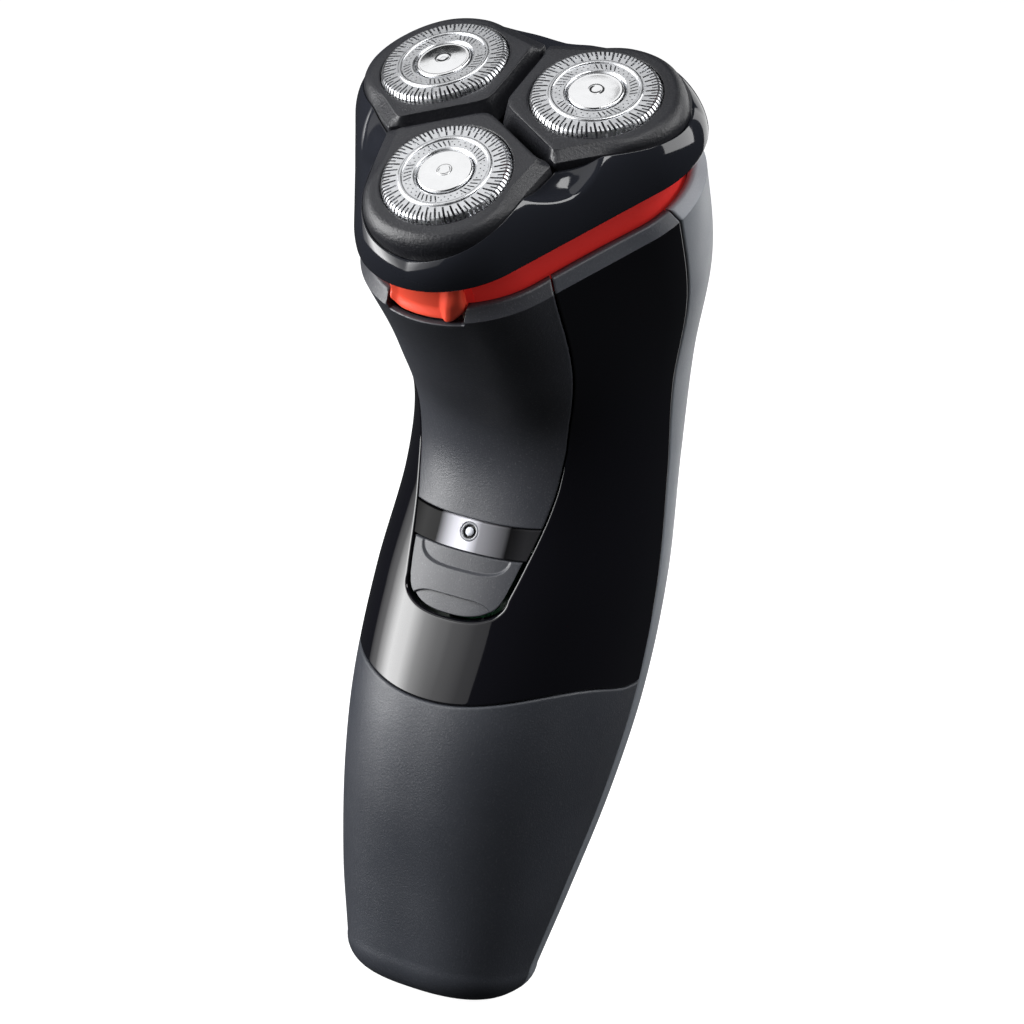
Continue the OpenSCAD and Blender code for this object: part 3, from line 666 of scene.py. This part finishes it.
red_mat = moulded("pocket_red_painted_glow", (0.62, 0.03, 0.026), 0.36, 0.5, 0.12, 0.07, coat=0.15)
# Painted light: a faint red emission makes the pocket glow, which brightens it where it sits in the shade under the
# cowl. The pocket is no lamp.
shader = red_mat.node_tree.nodes["Principled BSDF"]
shader.inputs["Emission Color"].default_value = (0.8, 0.035, 0.03, 1)
shader.inputs["Emission Strength"].default_value = 0.18
pocket = tri_loft("hair_pot", [
    (0, 0, -18.9), (9, 12, -18.9), (12.3, 16.4, -18.9), (12.3, 16.75, -18.75), (12.3, 16.9, -18.4),
    (12.3, 16.9, -16.4), (12.35, 16.9, -15.2), (12.7, 16.85, -14.3), (13.4, 16.7, -13.4), (14.5, 16.35, -12.6),
    (15.7, 15.95, -12.05), (16.55, 15.6, -11.75), (16.8, 15.45, -11.55), (16.75, 15.35, -11.38), (16.4, 15.3, -11.3),
    (13.2, 15.3, -11.3), (12.5, 15.25, -11.4), (12.3, 15.2, -11.7), (12.3, 15.2, -14), (12.3, 15.2, -16.9),
    (12.2, 14.9, -17.5), (12, 14.5, -17.7), (6, 7, -17.7), (0, 0, -17.7)], [red_mat])


def out_along(degrees, radius):
    return Matrix.Rotation(math.radians(degrees), 4, "Z") @ Matrix.Translation((radius * MM, 0, 0))


for angle in LOBES.values():
    cut(pocket, lathe("drill", [(0, -20), (2.6, -20), (2.6, -13), (0, -13)], [], 48, out_along(angle, spindle_pitch)))
tab_v = -12.3
seat_arc = [(x, tab_v - math.sqrt(16.2 ** 2 - x * x)) for x in np.linspace(-7.8, 7.8, 25)]
cut(pocket, prism("seat", seat_arc + [(7.8, -34), (-7.8, -34)], -20, -12.7))
cut(pocket, prism("stem_slot", [(-3.4, -30), (3.4, -30), (3.4, -24), (-3.4, -24)], -16.4, -13.8))
hinge_v, hinge_z = 22.6, -12.6
cut(pocket, prism("knuckle_room", [(-4.3, 20.2), (4.3, 20.2), (4.3, 26.2), (-4.3, 26.2)], -14.6, -9.6))
for angle in LOBES.values():
    join(pocket, lathe("sleeve", [(1.98, -18.9), (3.0, -18.9), (3.2, -18.7), (3.2, -14.8), (3.05, -14.5), (2.1, -14.5),
                                  (1.98, -14.6)], [red_mat], 48, out_along(angle, spindle_pitch), closed=True))
for angle in SADDLES:
    join(pocket, lathe("pillar", [(1.05, -22.6), (1.9, -22.6), (2.1, -22.4), (2.1, -18.8), (1.05, -18.8)], [red_mat],
                       32, out_along(angle, 19), closed=True))


def knuckle(name, x0, x1, mats):
    """Part of a hinge barrel along X, on a web that runs back into its moulding."""
    ring = lathe(name, [(1.04, 0), (1.35, 0), (1.5, 0.15), (1.5, x1 - x0 - 0.15), (1.35, x1 - x0), (1.04, x1 - x0)],
                 mats, 40, closed=True)
    ring.data.transform(Matrix.Translation(Vector((x0, hinge_v, hinge_z)) * MM) @ Matrix.Rotation(math.pi / 2, 4, "Y"))
    return ring


for x0, x1 in ((-7.4, -4.4), (4.4, 7.4)):
    join(pocket, knuckle("ear", x0, x1, [red_mat]))
    join(pocket, block("web", (x0, hinge_v - 1.5, hinge_z - 2), (x1, hinge_v + 0.1, hinge_z - 1.05), [red_mat], 0.15))
pocket.data.transform(at_head)
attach(pocket, "body")
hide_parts("hair_pocket")

# ---------------------------------------------------------------------------
# Release button: a lighter red tab in the notch under the front lobe, a long
# thumb scoop that rises to a rounded fin at its right end. Two springs hold it.
button_red = moulded("button_red", (0.86, 0.085, 0.045), 0.38, 0.5, 0.1, 0.06, coat=0.15)
tab_half, tab_low, tab_high = 7.0, -19.5, -12.9
fin_r, scoop_r, tab_in = 19.75, 18.25, 17.6
us, vs = stops(14, 90, 0.5), stops(6.6, 44, 0.5)
u, v = np.meshgrid(us, vs, indexing="ij")
w = np.abs(2 * u - 1)
along = 2 * u - 1 - 0.2 * (v - 0.5)
fin = step((along - 0.4) / 0.32) * (1 - 0.45 * step((along - 0.78) / 0.3))
lip = 0.55 * step((0.34 - v) / 0.34) + 0.3 * step((-0.7 - along) / 0.3)
r = scoop_r + (fin_r - scoop_r) * np.clip(np.maximum(fin * (1 - 0.5 * step((v - 0.45) / 0.55)), lip), 0, 1)
edge_d = np.minimum(np.minimum(u, 1 - u) * 14, np.minimum(v, 1 - v) * 6.6)
r = r - 0.5 + np.sqrt(np.maximum(0.25 - (0.5 - np.clip(edge_d, 0, 0.5)) ** 2, 0))
x = (2 * u - 1) * tab_half
low_edge = tab_low + 1.6 * np.clip((w - 0.6) / 0.4, 0, 1) ** 2
z = low_edge + (tab_high - low_edge) * v
points = np.concatenate([np.stack([x, tab_v - np.sqrt(np.maximum(rr * rr - x * x, 0)), z], -1).reshape(-1, 3)
                         for rr in (np.maximum(r, tab_in + 0.2), np.full(r.shape, tab_in))])
nu, nv = x.shape
loop = np.concatenate([np.arange(nu) * nv, (nu - 1) * nv + np.arange(1, nv),
                       np.arange(nu - 2, -1, -1) * nv + nv - 1, np.arange(nv - 2, 0, -1)])
after = np.roll(loop, -1)
tab = make_mesh("release_tab", points, np.concatenate([
    grid_faces(nu, nv), grid_faces(nu, nv, nu * nv, flip=True),
    np.stack([loop, loop + nu * nv, after + nu * nv, after], -1)]), [button_red])
merge(tab)
join(tab, block("stem", (-3, tab_v - 18, -16.1), (3, tab_v - 15.1, -14.1), [button_red]))
tab.data.transform(at_head)
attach(tab, "release")
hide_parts("release_button")

# ---------------------------------------------------------------------------
# Head frame: one polished black moulding that carries the three heads. Its top
# is a deck with a hole for each head and a channel that opens, between each two
# of them, into a scooped dip; its skirt rounds down to the red pocket.
frame_mat = polished("frame_gloss_black", (0.012, 0.013, 0.017), 0.07, 0.07)
deck_z, frame_low, ceiling = -5.75, -11.0, -8.4
lean_fall = math.tan(guard_lean)
turns, inside, outside = 480, 26, 50
petal_turn = math.radians(80)


def rim_radius(bend, tip=15.2, flank=14.0):
    """A petal's outer side from its own axis: round the lobe, then straight to a corner in the saddle."""
    round_r = tip + (flank - tip) * step((np.degrees(bend) - 25) / 55)
    straight = round_r / np.maximum(np.cos(np.maximum(bend - petal_turn, 0)), 0.2)
    return np.where(bend > math.radians(150), 60.0, straight)


def seam_z(bend):
    """Seam between petal and frame: low at the tip of the lobe, high in the saddles."""
    return -5.2 + 3.2 * np.sin(np.minimum(bend, math.radians(110)) * 90 / 110)


psi = np.linspace(0, 360, turns, endpoint=False)[:, None]
off = np.radians((psi + 870) % 120 - 60)
bend = np.radians(np.linspace(0, 140, 561))
seat_x = guard_pitch + (rim_radius(bend) + 0.12) * np.cos(bend)
seat_y = (rim_radius(bend) + 0.12) * np.sin(bend)
seat_off = np.arctan2(seat_y, seat_x)
edge_0 = np.interp(np.abs(off), seat_off, np.hypot(seat_x, seat_y))
edge_bend = np.interp(np.abs(off), seat_off, bend)
edge_1 = tri_r(psi, 17, 17)
start = np.radians(12 + 26 * (1 - step((np.degrees(np.abs(off)) - 22) / 30)))
sweep_a = np.concatenate([np.zeros(inside), np.linspace(0, 1, outside)]) * (math.pi / 2 - start) + start
share = np.concatenate([np.linspace(0, 1, inside, endpoint=False), np.full(outside, 1.0)])
outward = (np.sin(sweep_a) - np.sin(start)) / (1 - np.sin(start))
rho = np.where(share < 1, edge_0 * share, edge_0 + (edge_1 - edge_0) * outward)
top_0 = seam_z(edge_bend) - 0.12 - lean_fall * (edge_0 * np.cos(off) - guard_pitch)
flat_z = deck_z - lean_fall * (rho * np.cos(off) - guard_pitch)
round_z = frame_low + (top_0 - frame_low) * np.cos(sweep_a) / np.cos(start)
z = np.where(share < 1, flat_z, round_z)
along, beside = rho * np.cos(np.radians(60) - np.abs(off)), rho * np.sin(np.radians(60) - np.abs(off))
groove = 1.6 * np.exp(-(beside / 1.2) ** 2) * (1 - step((along - 15) / 6))
dip = 1.5 * step((1 - ((along - 19.5) / 4.4) ** 2 - (beside / 8.5) ** 2) / 1.0)
z = z - np.where(share < 1, groove, dip)
rings = [(rho, z)]
for inset, height in ((0.12, -11.12), (0.4, -11.18), (1.2, -11.18)):
    rings.append((tri_r(psi, 17, 17) - inset, np.full_like(psi, height + 0.18)))
for rc, height in ((14.95, -11.0), (14.8, -10.85), (14.8, ceiling)):
    rings.append((tri_r(psi, 17, rc), np.full_like(psi, height)))
for part in (0.66, 0.33, 0):
    rings.append((tri_r(psi, 17, 14.8) * part, np.full_like(psi, ceiling)))
rho = np.concatenate([r for r, _ in rings], 1)
z = np.concatenate([h for _, h in rings], 1)
t = np.radians(psi)
cowl = make_mesh("head_cowl", np.stack([rho * np.cos(t), rho * np.sin(t), z], -1).reshape(-1, 3),
                 grid_faces(turns, rho.shape[1], wrap_u=True), [frame_mat])
merge(cowl)
for angle in LOBES.values():
    cut(cowl, lathe("bore", [(0, -9), (12.9, -9), (12.9, -2), (0, -2)], [], 128, out_along(angle, spindle_pitch)))
cut(cowl, lathe("knob_bore", [(0, -9), (1.25, -9), (1.25, -6.8), (0, -6.8)], [], 32))
join(cowl, knuckle("knuckle", -4, 4, [frame_mat]),
     block("knuckle_web", (-4, hinge_v - 0.2, hinge_z + 1.04), (4, hinge_v + 1.5, hinge_z + 2), [frame_mat], 0.15),
     block("tongue_arm", (-2.6, -32, -10.4), (2.6, -25.1, -9.1), [frame_mat], 0.15),
     block("tongue", (-2.6, -26, -15.6), (2.6, -25.1, -9.6), [frame_mat], 0.15))
cowl.data.transform(at_head)
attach(cowl, "head")
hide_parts("head_frame")

# ---------------------------------------------------------------------------
# Petals: three satin black housings, each a round cup cut by two straight
# grooves, with a fine leathery grain and a broad shoulder on its outer side.
petal_mat = moulded("petal_black", (0.0115, 0.012, 0.015), 0.4, 0.42, 0.7, 0.1, 0.012)
guard_r, petal_low, petal_top = 11.05, -5.3, -0.9
groove_half = math.sin(math.radians(60)) * guard_pitch


def soft_min(a, b, k):
    return -np.logaddexp(-k * a, -k * b) / k


def petal_outline(theta, tip, flank, gap):
    """Round the lobe, straight to a corner in each saddle, then back along the two grooves."""
    bend = np.abs(theta)
    near = np.sin(bend - math.radians(60))
    far = np.sin(math.radians(300) - bend)
    side = np.where(near > 0.1, (groove_half - gap) / np.maximum(near, 0.1), 60.0)
    other = np.where(far > 0.1, (groove_half - gap) / np.maximum(far, 0.1), 60.0)
    return soft_min(rim_radius(bend, tip, flank), soft_min(side, other, 1.3), 6.0)


theta = np.linspace(-math.pi, math.pi, 432, endpoint=False)
foot, crown = petal_outline(theta, 15.2, 14.0, 0.55), petal_outline(theta, 12.7, 11.75, 1.6)
bend = np.abs(theta)
straight = step((np.degrees(bend) - 62) / 36)
inner = step((np.degrees(bend) - 120) / 6)
seam = seam_z(bend) * (1 - inner) + (petal_low + 0.3) * inner
columns = [(foot - 0.05, np.full_like(theta, petal_low)), (foot, np.full_like(theta, petal_low + 0.05)),
           (foot, seam - 0.1), (foot - 0.03, seam)]
for q in np.linspace(0.04, 1, 20):
    arc = q * math.pi / 2
    lobe_b, lobe_z = math.cos(arc) ** 0.95, seam + (petal_top - seam) * math.sin(arc)
    flat_b = 1 - 0.93 * q / 0.8 if q < 0.8 else 0.07 * (1 - (q - 0.8) / 0.2)
    rise = 0.92 * q / 0.8 if q < 0.8 else 0.92 + 0.08 * math.sin((q - 0.8) / 0.2 * math.pi / 2)
    flat_z = seam + (petal_top - seam) * rise
    b = lobe_b + (flat_b - lobe_b) * straight
    columns.append((crown + (foot - 0.03 - crown) * b, lobe_z + (flat_z - lobe_z) * straight))
for share in (0.25, 0.6, 0.9):
    columns.append((crown + (guard_r + 0.3 - crown) * share, np.full_like(theta, petal_top + 0.06 * share)))
for radius, h in ((guard_r + 0.22, petal_top + 0.03), (guard_r + 0.12, petal_top - 0.1), (guard_r + 0.1, petal_top - 0.3),
                  (guard_r + 0.1, petal_low)):
    columns.append((np.full_like(theta, radius), np.full_like(theta, h)))
r = np.stack([c[0] for c in columns], 1)
z = np.stack([c[1] for c in columns], 1)
t = theta[:, None]
for key, angle in LOBES.items():
    petal = make_mesh("petal_cup_" + key, np.stack([r * np.cos(t), r * np.sin(t), z], -1).reshape(-1, 3),
                      grid_faces(len(theta), r.shape[1], wrap_u=True, wrap_v=True), [petal_mat])
    merge(petal)
    petal.data.transform(at_lobe(angle))
    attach(petal, "petal_" + key)
    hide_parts("petal_" + key)

# ---------------------------------------------------------------------------
# Guards: pressed bright steel. The outer track is a comb of U-shaped bars that
# bends down over the edge; the inner one has five rows of slits and of dots.
def steel(name, colour, rough, streak=0.12, rings_per_mm=6.0):
    """Bright steel with faint spun rings and rubbed patches."""
    mat, tree, shader, where = new_material(name)
    broad = noise(tree, where, 420, 3)
    fine = noise(tree, where, 1000 * rings_per_mm, 1)
    low = tuple(c * (1 - streak) for c in colour)
    tree.links.new(two_tone(tree, between(tree, broad, 0, 1), low, colour), shader.inputs["Base Color"])
    tree.links.new(between(tree, noise(tree, where, 700, 2), rough * 0.75, rough * 1.3), shader.inputs["Roughness"])
    b = tree.nodes.new("ShaderNodeBump")
    b.inputs["Strength"].default_value = 0.12
    b.inputs["Distance"].default_value = 0.00002
    tree.links.new(fine, b.inputs["Height"])
    tree.links.new(b.outputs["Normal"], shader.inputs["Normal"])
    shader.inputs["Metallic"].default_value = 1.0
    return mat


guard_mat = steel("guard_steel", (0.7, 0.71, 0.73), 0.3)


def node_tree(name, **sizes):
    """A Geometry Nodes tree with a geometry in and out and one named input for each size."""
    tree = bpy.data.node_groups.new(name, "GeometryNodeTree")
    tree.is_modifier = True
    tree.interface.new_socket("Geometry", in_out="INPUT", socket_type="NodeSocketGeometry")
    tree.interface.new_socket("Geometry", in_out="OUTPUT", socket_type="NodeSocketGeometry")
    for label, value in sizes.items():
        kind = "Int" if isinstance(value, int) else "Float"
        tree.interface.new_socket(label, in_out="INPUT", socket_type="NodeSocket" + kind)
    return tree, tree.nodes.new("NodeGroupInput"), tree.nodes.new("NodeGroupOutput")


def grow(obj, tree, sizes):
    """Runs the tree on the object with these sizes and keeps the result as its plain mesh."""
    m = obj.modifiers.new(tree.name, "NODES")
    m.node_group = tree
    for item in tree.interface.items_tree:
        if item.in_out == "INPUT" and item.name in sizes:
            m[item.identifier] = sizes[item.name]
    mesh = bpy.data.meshes.new_from_object(obj.evaluated_get(bpy.context.evaluated_depsgraph_get()))
    obj.modifiers.remove(m)
    obj.data = mesh
    return obj


def maths(tree, operation, a, b=0.0):
    n = tree.nodes.new("ShaderNodeMath")
    n.operation = operation
    for socket, value in zip(n.inputs, (a, b)):
        if isinstance(value, (int, float)):
            socket.default_value = value
        else:
            tree.links.new(value, socket)
    return n.outputs[0]


def ring_points(tree, count, angle, radius):
    """Points round the middle, at the given angle and radius."""
    points, place = tree.nodes.new("GeometryNodePoints"), tree.nodes.new("ShaderNodeCombineXYZ")
    tree.links.new(count, points.inputs["Count"])
    tree.links.new(maths(tree, "MULTIPLY", maths(tree, "COSINE", angle), radius), place.inputs[0])
    tree.links.new(maths(tree, "MULTIPLY", maths(tree, "SINE", angle), radius), place.inputs[1])
    tree.links.new(place.outputs[0], points.inputs["Position"])
    return points.outputs[0]


def put_on(tree, points, shape, angle):
    """Stands the shape on the points, each turned by its angle."""
    inst, turn = tree.nodes.new("GeometryNodeInstanceOnPoints"), tree.nodes.new("ShaderNodeCombineXYZ")
    tree.links.new(points, inst.inputs["Points"])
    tree.links.new(shape, inst.inputs["Instance"])
    tree.links.new(angle, turn.inputs[2])
    tree.links.new(turn.outputs[0], inst.inputs["Rotation"])
    return inst.outputs[0]


def finish_tree(tree, out, geometry, mat, weld):
    """Realises the instances, welds them and gives them their material."""
    real, joined, paint = (tree.nodes.new("GeometryNode" + n) for n in ("RealizeInstances", "MergeByDistance", "SetMaterial"))
    tree.links.new(geometry, real.inputs[0])
    tree.links.new(real.outputs[0], joined.inputs["Geometry"])
    joined.inputs["Distance"].default_value = weld
    tree.links.new(joined.outputs[0], paint.inputs["Geometry"])
    paint.inputs["Material"].default_value = mat
    tree.links.new(paint.outputs[0], out.inputs[0])


# one comb tooth: two bars joined at their inner end, on a grid of angle and radius
teeth = 42
tooth_turn = 2 * math.pi / teeth
cell_a = np.array([0, 0.13, 0.27, 0.4, 0.6, 0.73, 0.87, 1.0]) * tooth_turn
cell_r = [7.95, 8.2, 8.35, 9.25, 9.4, 10.2, 10.5, 10.75, 10.93, 11.04, 11.06]
sweep = 0.05


def track_z(radius):
    return -0.02 - 1.1 * np.clip((radius - 10.15) / 0.9, 0, 1) ** 2.6


def tooth_solid(i, j):
    mid_r = (cell_r[j] + cell_r[j + 1]) / 2
    if mid_r < 8.2 or mid_r > 11.0:
        return True
    if i in (0, 6):
        return False
    return i in (1, 2, 4, 5) or mid_r < 9.3


def tooth_mesh():
    points, faces, index = [], [], {}

    def point(i, j, low):
        if (i, j, low) not in index:
            index[i, j, low] = len(points)
            r, a = cell_r[j], cell_a[i] + sweep * (cell_r[j] - 7.95) / 3
            z = track_z(r) - (0.3 if low else 0) - (0.5 if j == len(cell_r) - 1 else 0)
            points.append((r * math.cos(a) if not low else (r - 0.08) * math.cos(a),
                           r * math.sin(a) if not low else (r - 0.08) * math.sin(a), z))
        return index[i, j, low]

    ni, nj = len(cell_a) - 1, len(cell_r) - 1
    for i in range(ni):
        for j in range(nj):
            if not tooth_solid(i, j):
                continue
            for low in (0, 1):
                quad = [point(i, j, low), point(i, j + 1, low), point(i + 1, j + 1, low), point(i + 1, j, low)]
                faces.append(quad[::-1] if low else quad)
            for di, dj, a, b in ((-1, 0, (i, j), (i, j + 1)), (1, 0, (i + 1, j + 1), (i + 1, j)),
                                 (0, -1, (i + 1, j), (i, j)), (0, 1, (i, j + 1), (i + 1, j + 1))):
                near_i, near_j = (i + di) % ni, j + dj
                if not 0 <= near_j < nj or not tooth_solid(near_i, near_j):
                    faces.append([point(*a, 0), point(*a, 1), point(*b, 1), point(*b, 0)])
    return points, faces


comb_sizes = {"Teeth": teeth}
comb_tree, into, out = node_tree("comb_of_bars", **comb_sizes)
index = comb_tree.nodes.new("GeometryNodeInputIndex").outputs[0]
angle = maths(comb_tree, "DIVIDE", maths(comb_tree, "MULTIPLY", index, 2 * math.pi), into.outputs["Teeth"])
finish_tree(comb_tree, out, put_on(comb_tree, ring_points(comb_tree, into.outputs["Teeth"], angle, 0.0),
                                   into.outputs["Geometry"], angle), guard_mat, 0.000004)

# inner track: a disc pierced by five groups of slits and, between them, of dots
disc_sizes = {"Outer": 7.22 * MM, "Inner": 5.38 * MM, "Groups": 5, "Slits": 5, "Dots": 8, "Slit Length": 1.35 * MM,
              "Slit Width": 0.24 * MM, "Dot Radius": 0.13 * MM, "Thick": 0.3 * MM}
disc_tree, into, out = node_tree("pierced_disc", **disc_sizes)
index = disc_tree.nodes.new("GeometryNodeInputIndex").outputs[0]
joined = disc_tree.nodes.new("GeometryNodeJoinGeometry")
for label in ("Outer", "Inner"):
    circle = disc_tree.nodes.new("GeometryNodeCurvePrimitiveCircle")
    circle.inputs["Resolution"].default_value = 144
    disc_tree.links.new(into.outputs[label], circle.inputs["Radius"])
    disc_tree.links.new(circle.outputs[0], joined.inputs[0])
slit = disc_tree.nodes.new("GeometryNodeCurvePrimitiveQuadrilateral")
disc_tree.links.new(into.outputs["Slit Length"], slit.inputs["Width"])
disc_tree.links.new(into.outputs["Slit Width"], slit.inputs["Height"])
dot = disc_tree.nodes.new("GeometryNodeCurvePrimitiveCircle")
dot.inputs["Resolution"].default_value = 8
disc_tree.links.new(into.outputs["Dot Radius"], dot.inputs["Radius"])
for label, shape, first, pitch, middle, zigzag, lean in (
        ("Slits", slit, 0.0, 0.125, 6.3, 0.0, 0.35), ("Dots", dot, math.pi / 5, 0.088, 6.0, 0.62, 0.0)):
    many = into.outputs[label]
    group = maths(disc_tree, "FLOOR", maths(disc_tree, "DIVIDE", index, many))
    place = maths(disc_tree, "MODULO", index, many)
    centred = maths(disc_tree, "SUBTRACT", place, maths(disc_tree, "DIVIDE", maths(disc_tree, "SUBTRACT", many, 1), 2))
    angle = maths(disc_tree, "ADD", maths(disc_tree, "MULTIPLY", group, 2 * math.pi / 5),
                  maths(disc_tree, "ADD", maths(disc_tree, "MULTIPLY", centred, pitch), first))
    radius = maths(disc_tree, "ADD", maths(disc_tree, "MULTIPLY", maths(disc_tree, "MODULO", place, 2), zigzag * MM),
                   middle * MM)
    count = maths(disc_tree, "MULTIPLY", into.outputs["Groups"], many)
    rows = put_on(disc_tree, ring_points(disc_tree, count, angle, radius), shape.outputs[0],
                  maths(disc_tree, "ADD", angle, lean))
    disc_tree.links.new(rows, joined.inputs[0])
real = disc_tree.nodes.new("GeometryNodeRealizeInstances")
fill = disc_tree.nodes.new("GeometryNodeFillCurve")
thick = disc_tree.nodes.new("GeometryNodeExtrudeMesh")
flip = disc_tree.nodes.new("GeometryNodeFlipFaces")
whole = disc_tree.nodes.new("GeometryNodeJoinGeometry")
disc_tree.links.new(joined.outputs[0], real.inputs[0])
disc_tree.links.new(real.outputs[0], fill.inputs[0])
disc_tree.links.new(fill.outputs[0], thick.inputs["Mesh"])
thick.inputs["Individual"].default_value = False
disc_tree.links.new(into.outputs["Thick"], thick.inputs["Offset Scale"])
disc_tree.links.new(fill.outputs[0], flip.inputs[0])
disc_tree.links.new(thick.outputs[0], whole.inputs[0])
disc_tree.links.new(flip.outputs[0], whole.inputs[0])
finish_tree(disc_tree, out, whole.outputs[0], guard_mat, 0.000002)

cap_r = 4.7
for key, angle in LOBES.items():
    comb = make_mesh("guard_comb_" + key, *tooth_mesh(), [guard_mat], smooth=False)
    grow(comb, comb_tree, comb_sizes)
    disc = make_mesh("guard_disc_" + key, [(0, 0, 0)], [], [guard_mat])
    grow(disc, disc_tree, disc_sizes)
    disc.data.transform(Matrix.Translation((0, 0, -0.3 * MM)))
    ring = lathe("guard_ring_" + key, [
        (7.15, -0.35), (7.15, -0.02), (7.2, 0.12), (7.32, 0.22), (7.55, 0.25), (7.78, 0.22), (7.92, 0.1), (7.97, -0.04),
        (7.97, -0.35)], [guard_mat], 144, closed=True)
    skirt = lathe("guard_skirt_" + key, [
        (10.5, -1.5), (10.9, -1.45), (11.0, -1.5), (11.05, -1.6), (11.05, -5.4), (12, -5.4), (12, -6), (10.5, -6)],
        [guard_mat], 144, closed=True)
    seat = lathe("guard_seat_" + key, [
        (cap_r + 0.14, -1.2), (cap_r + 0.14, -0.5), (5.2, -0.16), (5.34, -0.04), (5.42, -0.02), (5.42, -1.2)],
        [guard_mat], 96, closed=True)
    guard = join(ring, skirt, seat)
    for piece in (comb, disc, guard):
        piece.data.transform(at_lobe(angle))
        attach(piece, "petal_" + key)
    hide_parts("guard_" + key)

# ---------------------------------------------------------------------------
# Guard caps: three domed plates of mirror-bright steel, plain but for one ring
# turned round the middle, each pressed into the seat in its guard.
cap_mat = steel("cap_bright", (0.9, 0.905, 0.915), 0.13, 0.05)
dome = [(rr, 0.06 + 0.2 * (1 - (rr / 4.0) ** 2)) for rr in np.linspace(4.0, 1.35, 12)]
for key, angle in LOBES.items():
    cap = lathe("cap_dome_" + key, [(0, -1.2), (cap_r, -1.2), (cap_r, -0.2), (cap_r - 0.06, -0.04), (cap_r - 0.2, 0.05),
                                    (cap_r - 0.42, 0.08), (cap_r - 0.58, 0.05)] + dome
                + [(1.25, 0.27), (1.18, 0.31), (1.0, 0.31), (0.92, 0.26), (0.5, 0.27), (0, 0.27)],
                [cap_mat], 96, at_lobe(angle))
    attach(cap, "petal_" + key)
    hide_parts("guard_cap_" + key)

# ---------------------------------------------------------------------------
# Everything inside, and the base: the CAD pieces keep their shapes and take a
# finish each, by the slot that the record gives them.
FINISHES = {
    "dark_plastic": moulded("base_black", (0.02, 0.021, 0.025), 0.5, 0.35, 0.5, 0.1, 0.01),
    "frame_plastic": moulded("frame_nylon_grey", (0.09, 0.095, 0.105), 0.55, 0.4, 0.4, 0.12),
    "battery": moulded("battery_sleeve_blue", (0.03, 0.11, 0.32), 0.32, 0.8, 0.1, 0.15, coat=0.3),
    "board": moulded("board_green", (0.012, 0.11, 0.04), 0.35, 0.6, 0.2, 0.25, coat=0.4),
    "magnet": moulded("magnet_ferrite", (0.045, 0.045, 0.05), 0.6, 0.25, 0.8, 0.2, 0.02),
    "rubber": moulded("gasket_rubber", (0.015, 0.015, 0.017), 0.75, 0.5, 0.3, 0.15),
    "gear_nylon": moulded("gear_acetal", (0.74, 0.71, 0.62), 0.42, 0.5, 0.2, 0.06),
    "hub_plastic": moulded("hub_plum", (0.2, 0.035, 0.19), 0.4, 0.45, 0.2, 0.1),
    "red_button": button_red,
    "brass": steel("contact_brass", (0.8, 0.58, 0.26), 0.28, 0.2),
    "copper": steel("armature_copper", (0.72, 0.32, 0.14), 0.4, 0.3),
    "steel": steel("bright_steel", (0.66, 0.67, 0.69), 0.3, 0.15),
    "motor_steel": steel("motor_zinc", (0.5, 0.51, 0.53), 0.38, 0.25),
}
replaced = {"lower_grip", "rear_shell", "gloss_panel", "front_insert", "lens_strip", "led_window", "power_button",
            "hair_pocket", "release_button", "head_frame"}
for part in frame["record"]["subparts"]:
    name, finish = part["node"], part["material_slot"]
    if finish in FINISHES and name not in replaced:
        mesh = nodes[name].data
        mesh.materials.clear()
        mesh.materials.append(FINISHES[finish])
window_glow = polished("status_lamp", (0.75, 0.8, 0.85), 0.2, 0.1)
nodes["status_led"].data.materials.clear()
nodes["status_led"].data.materials.append(window_glow)
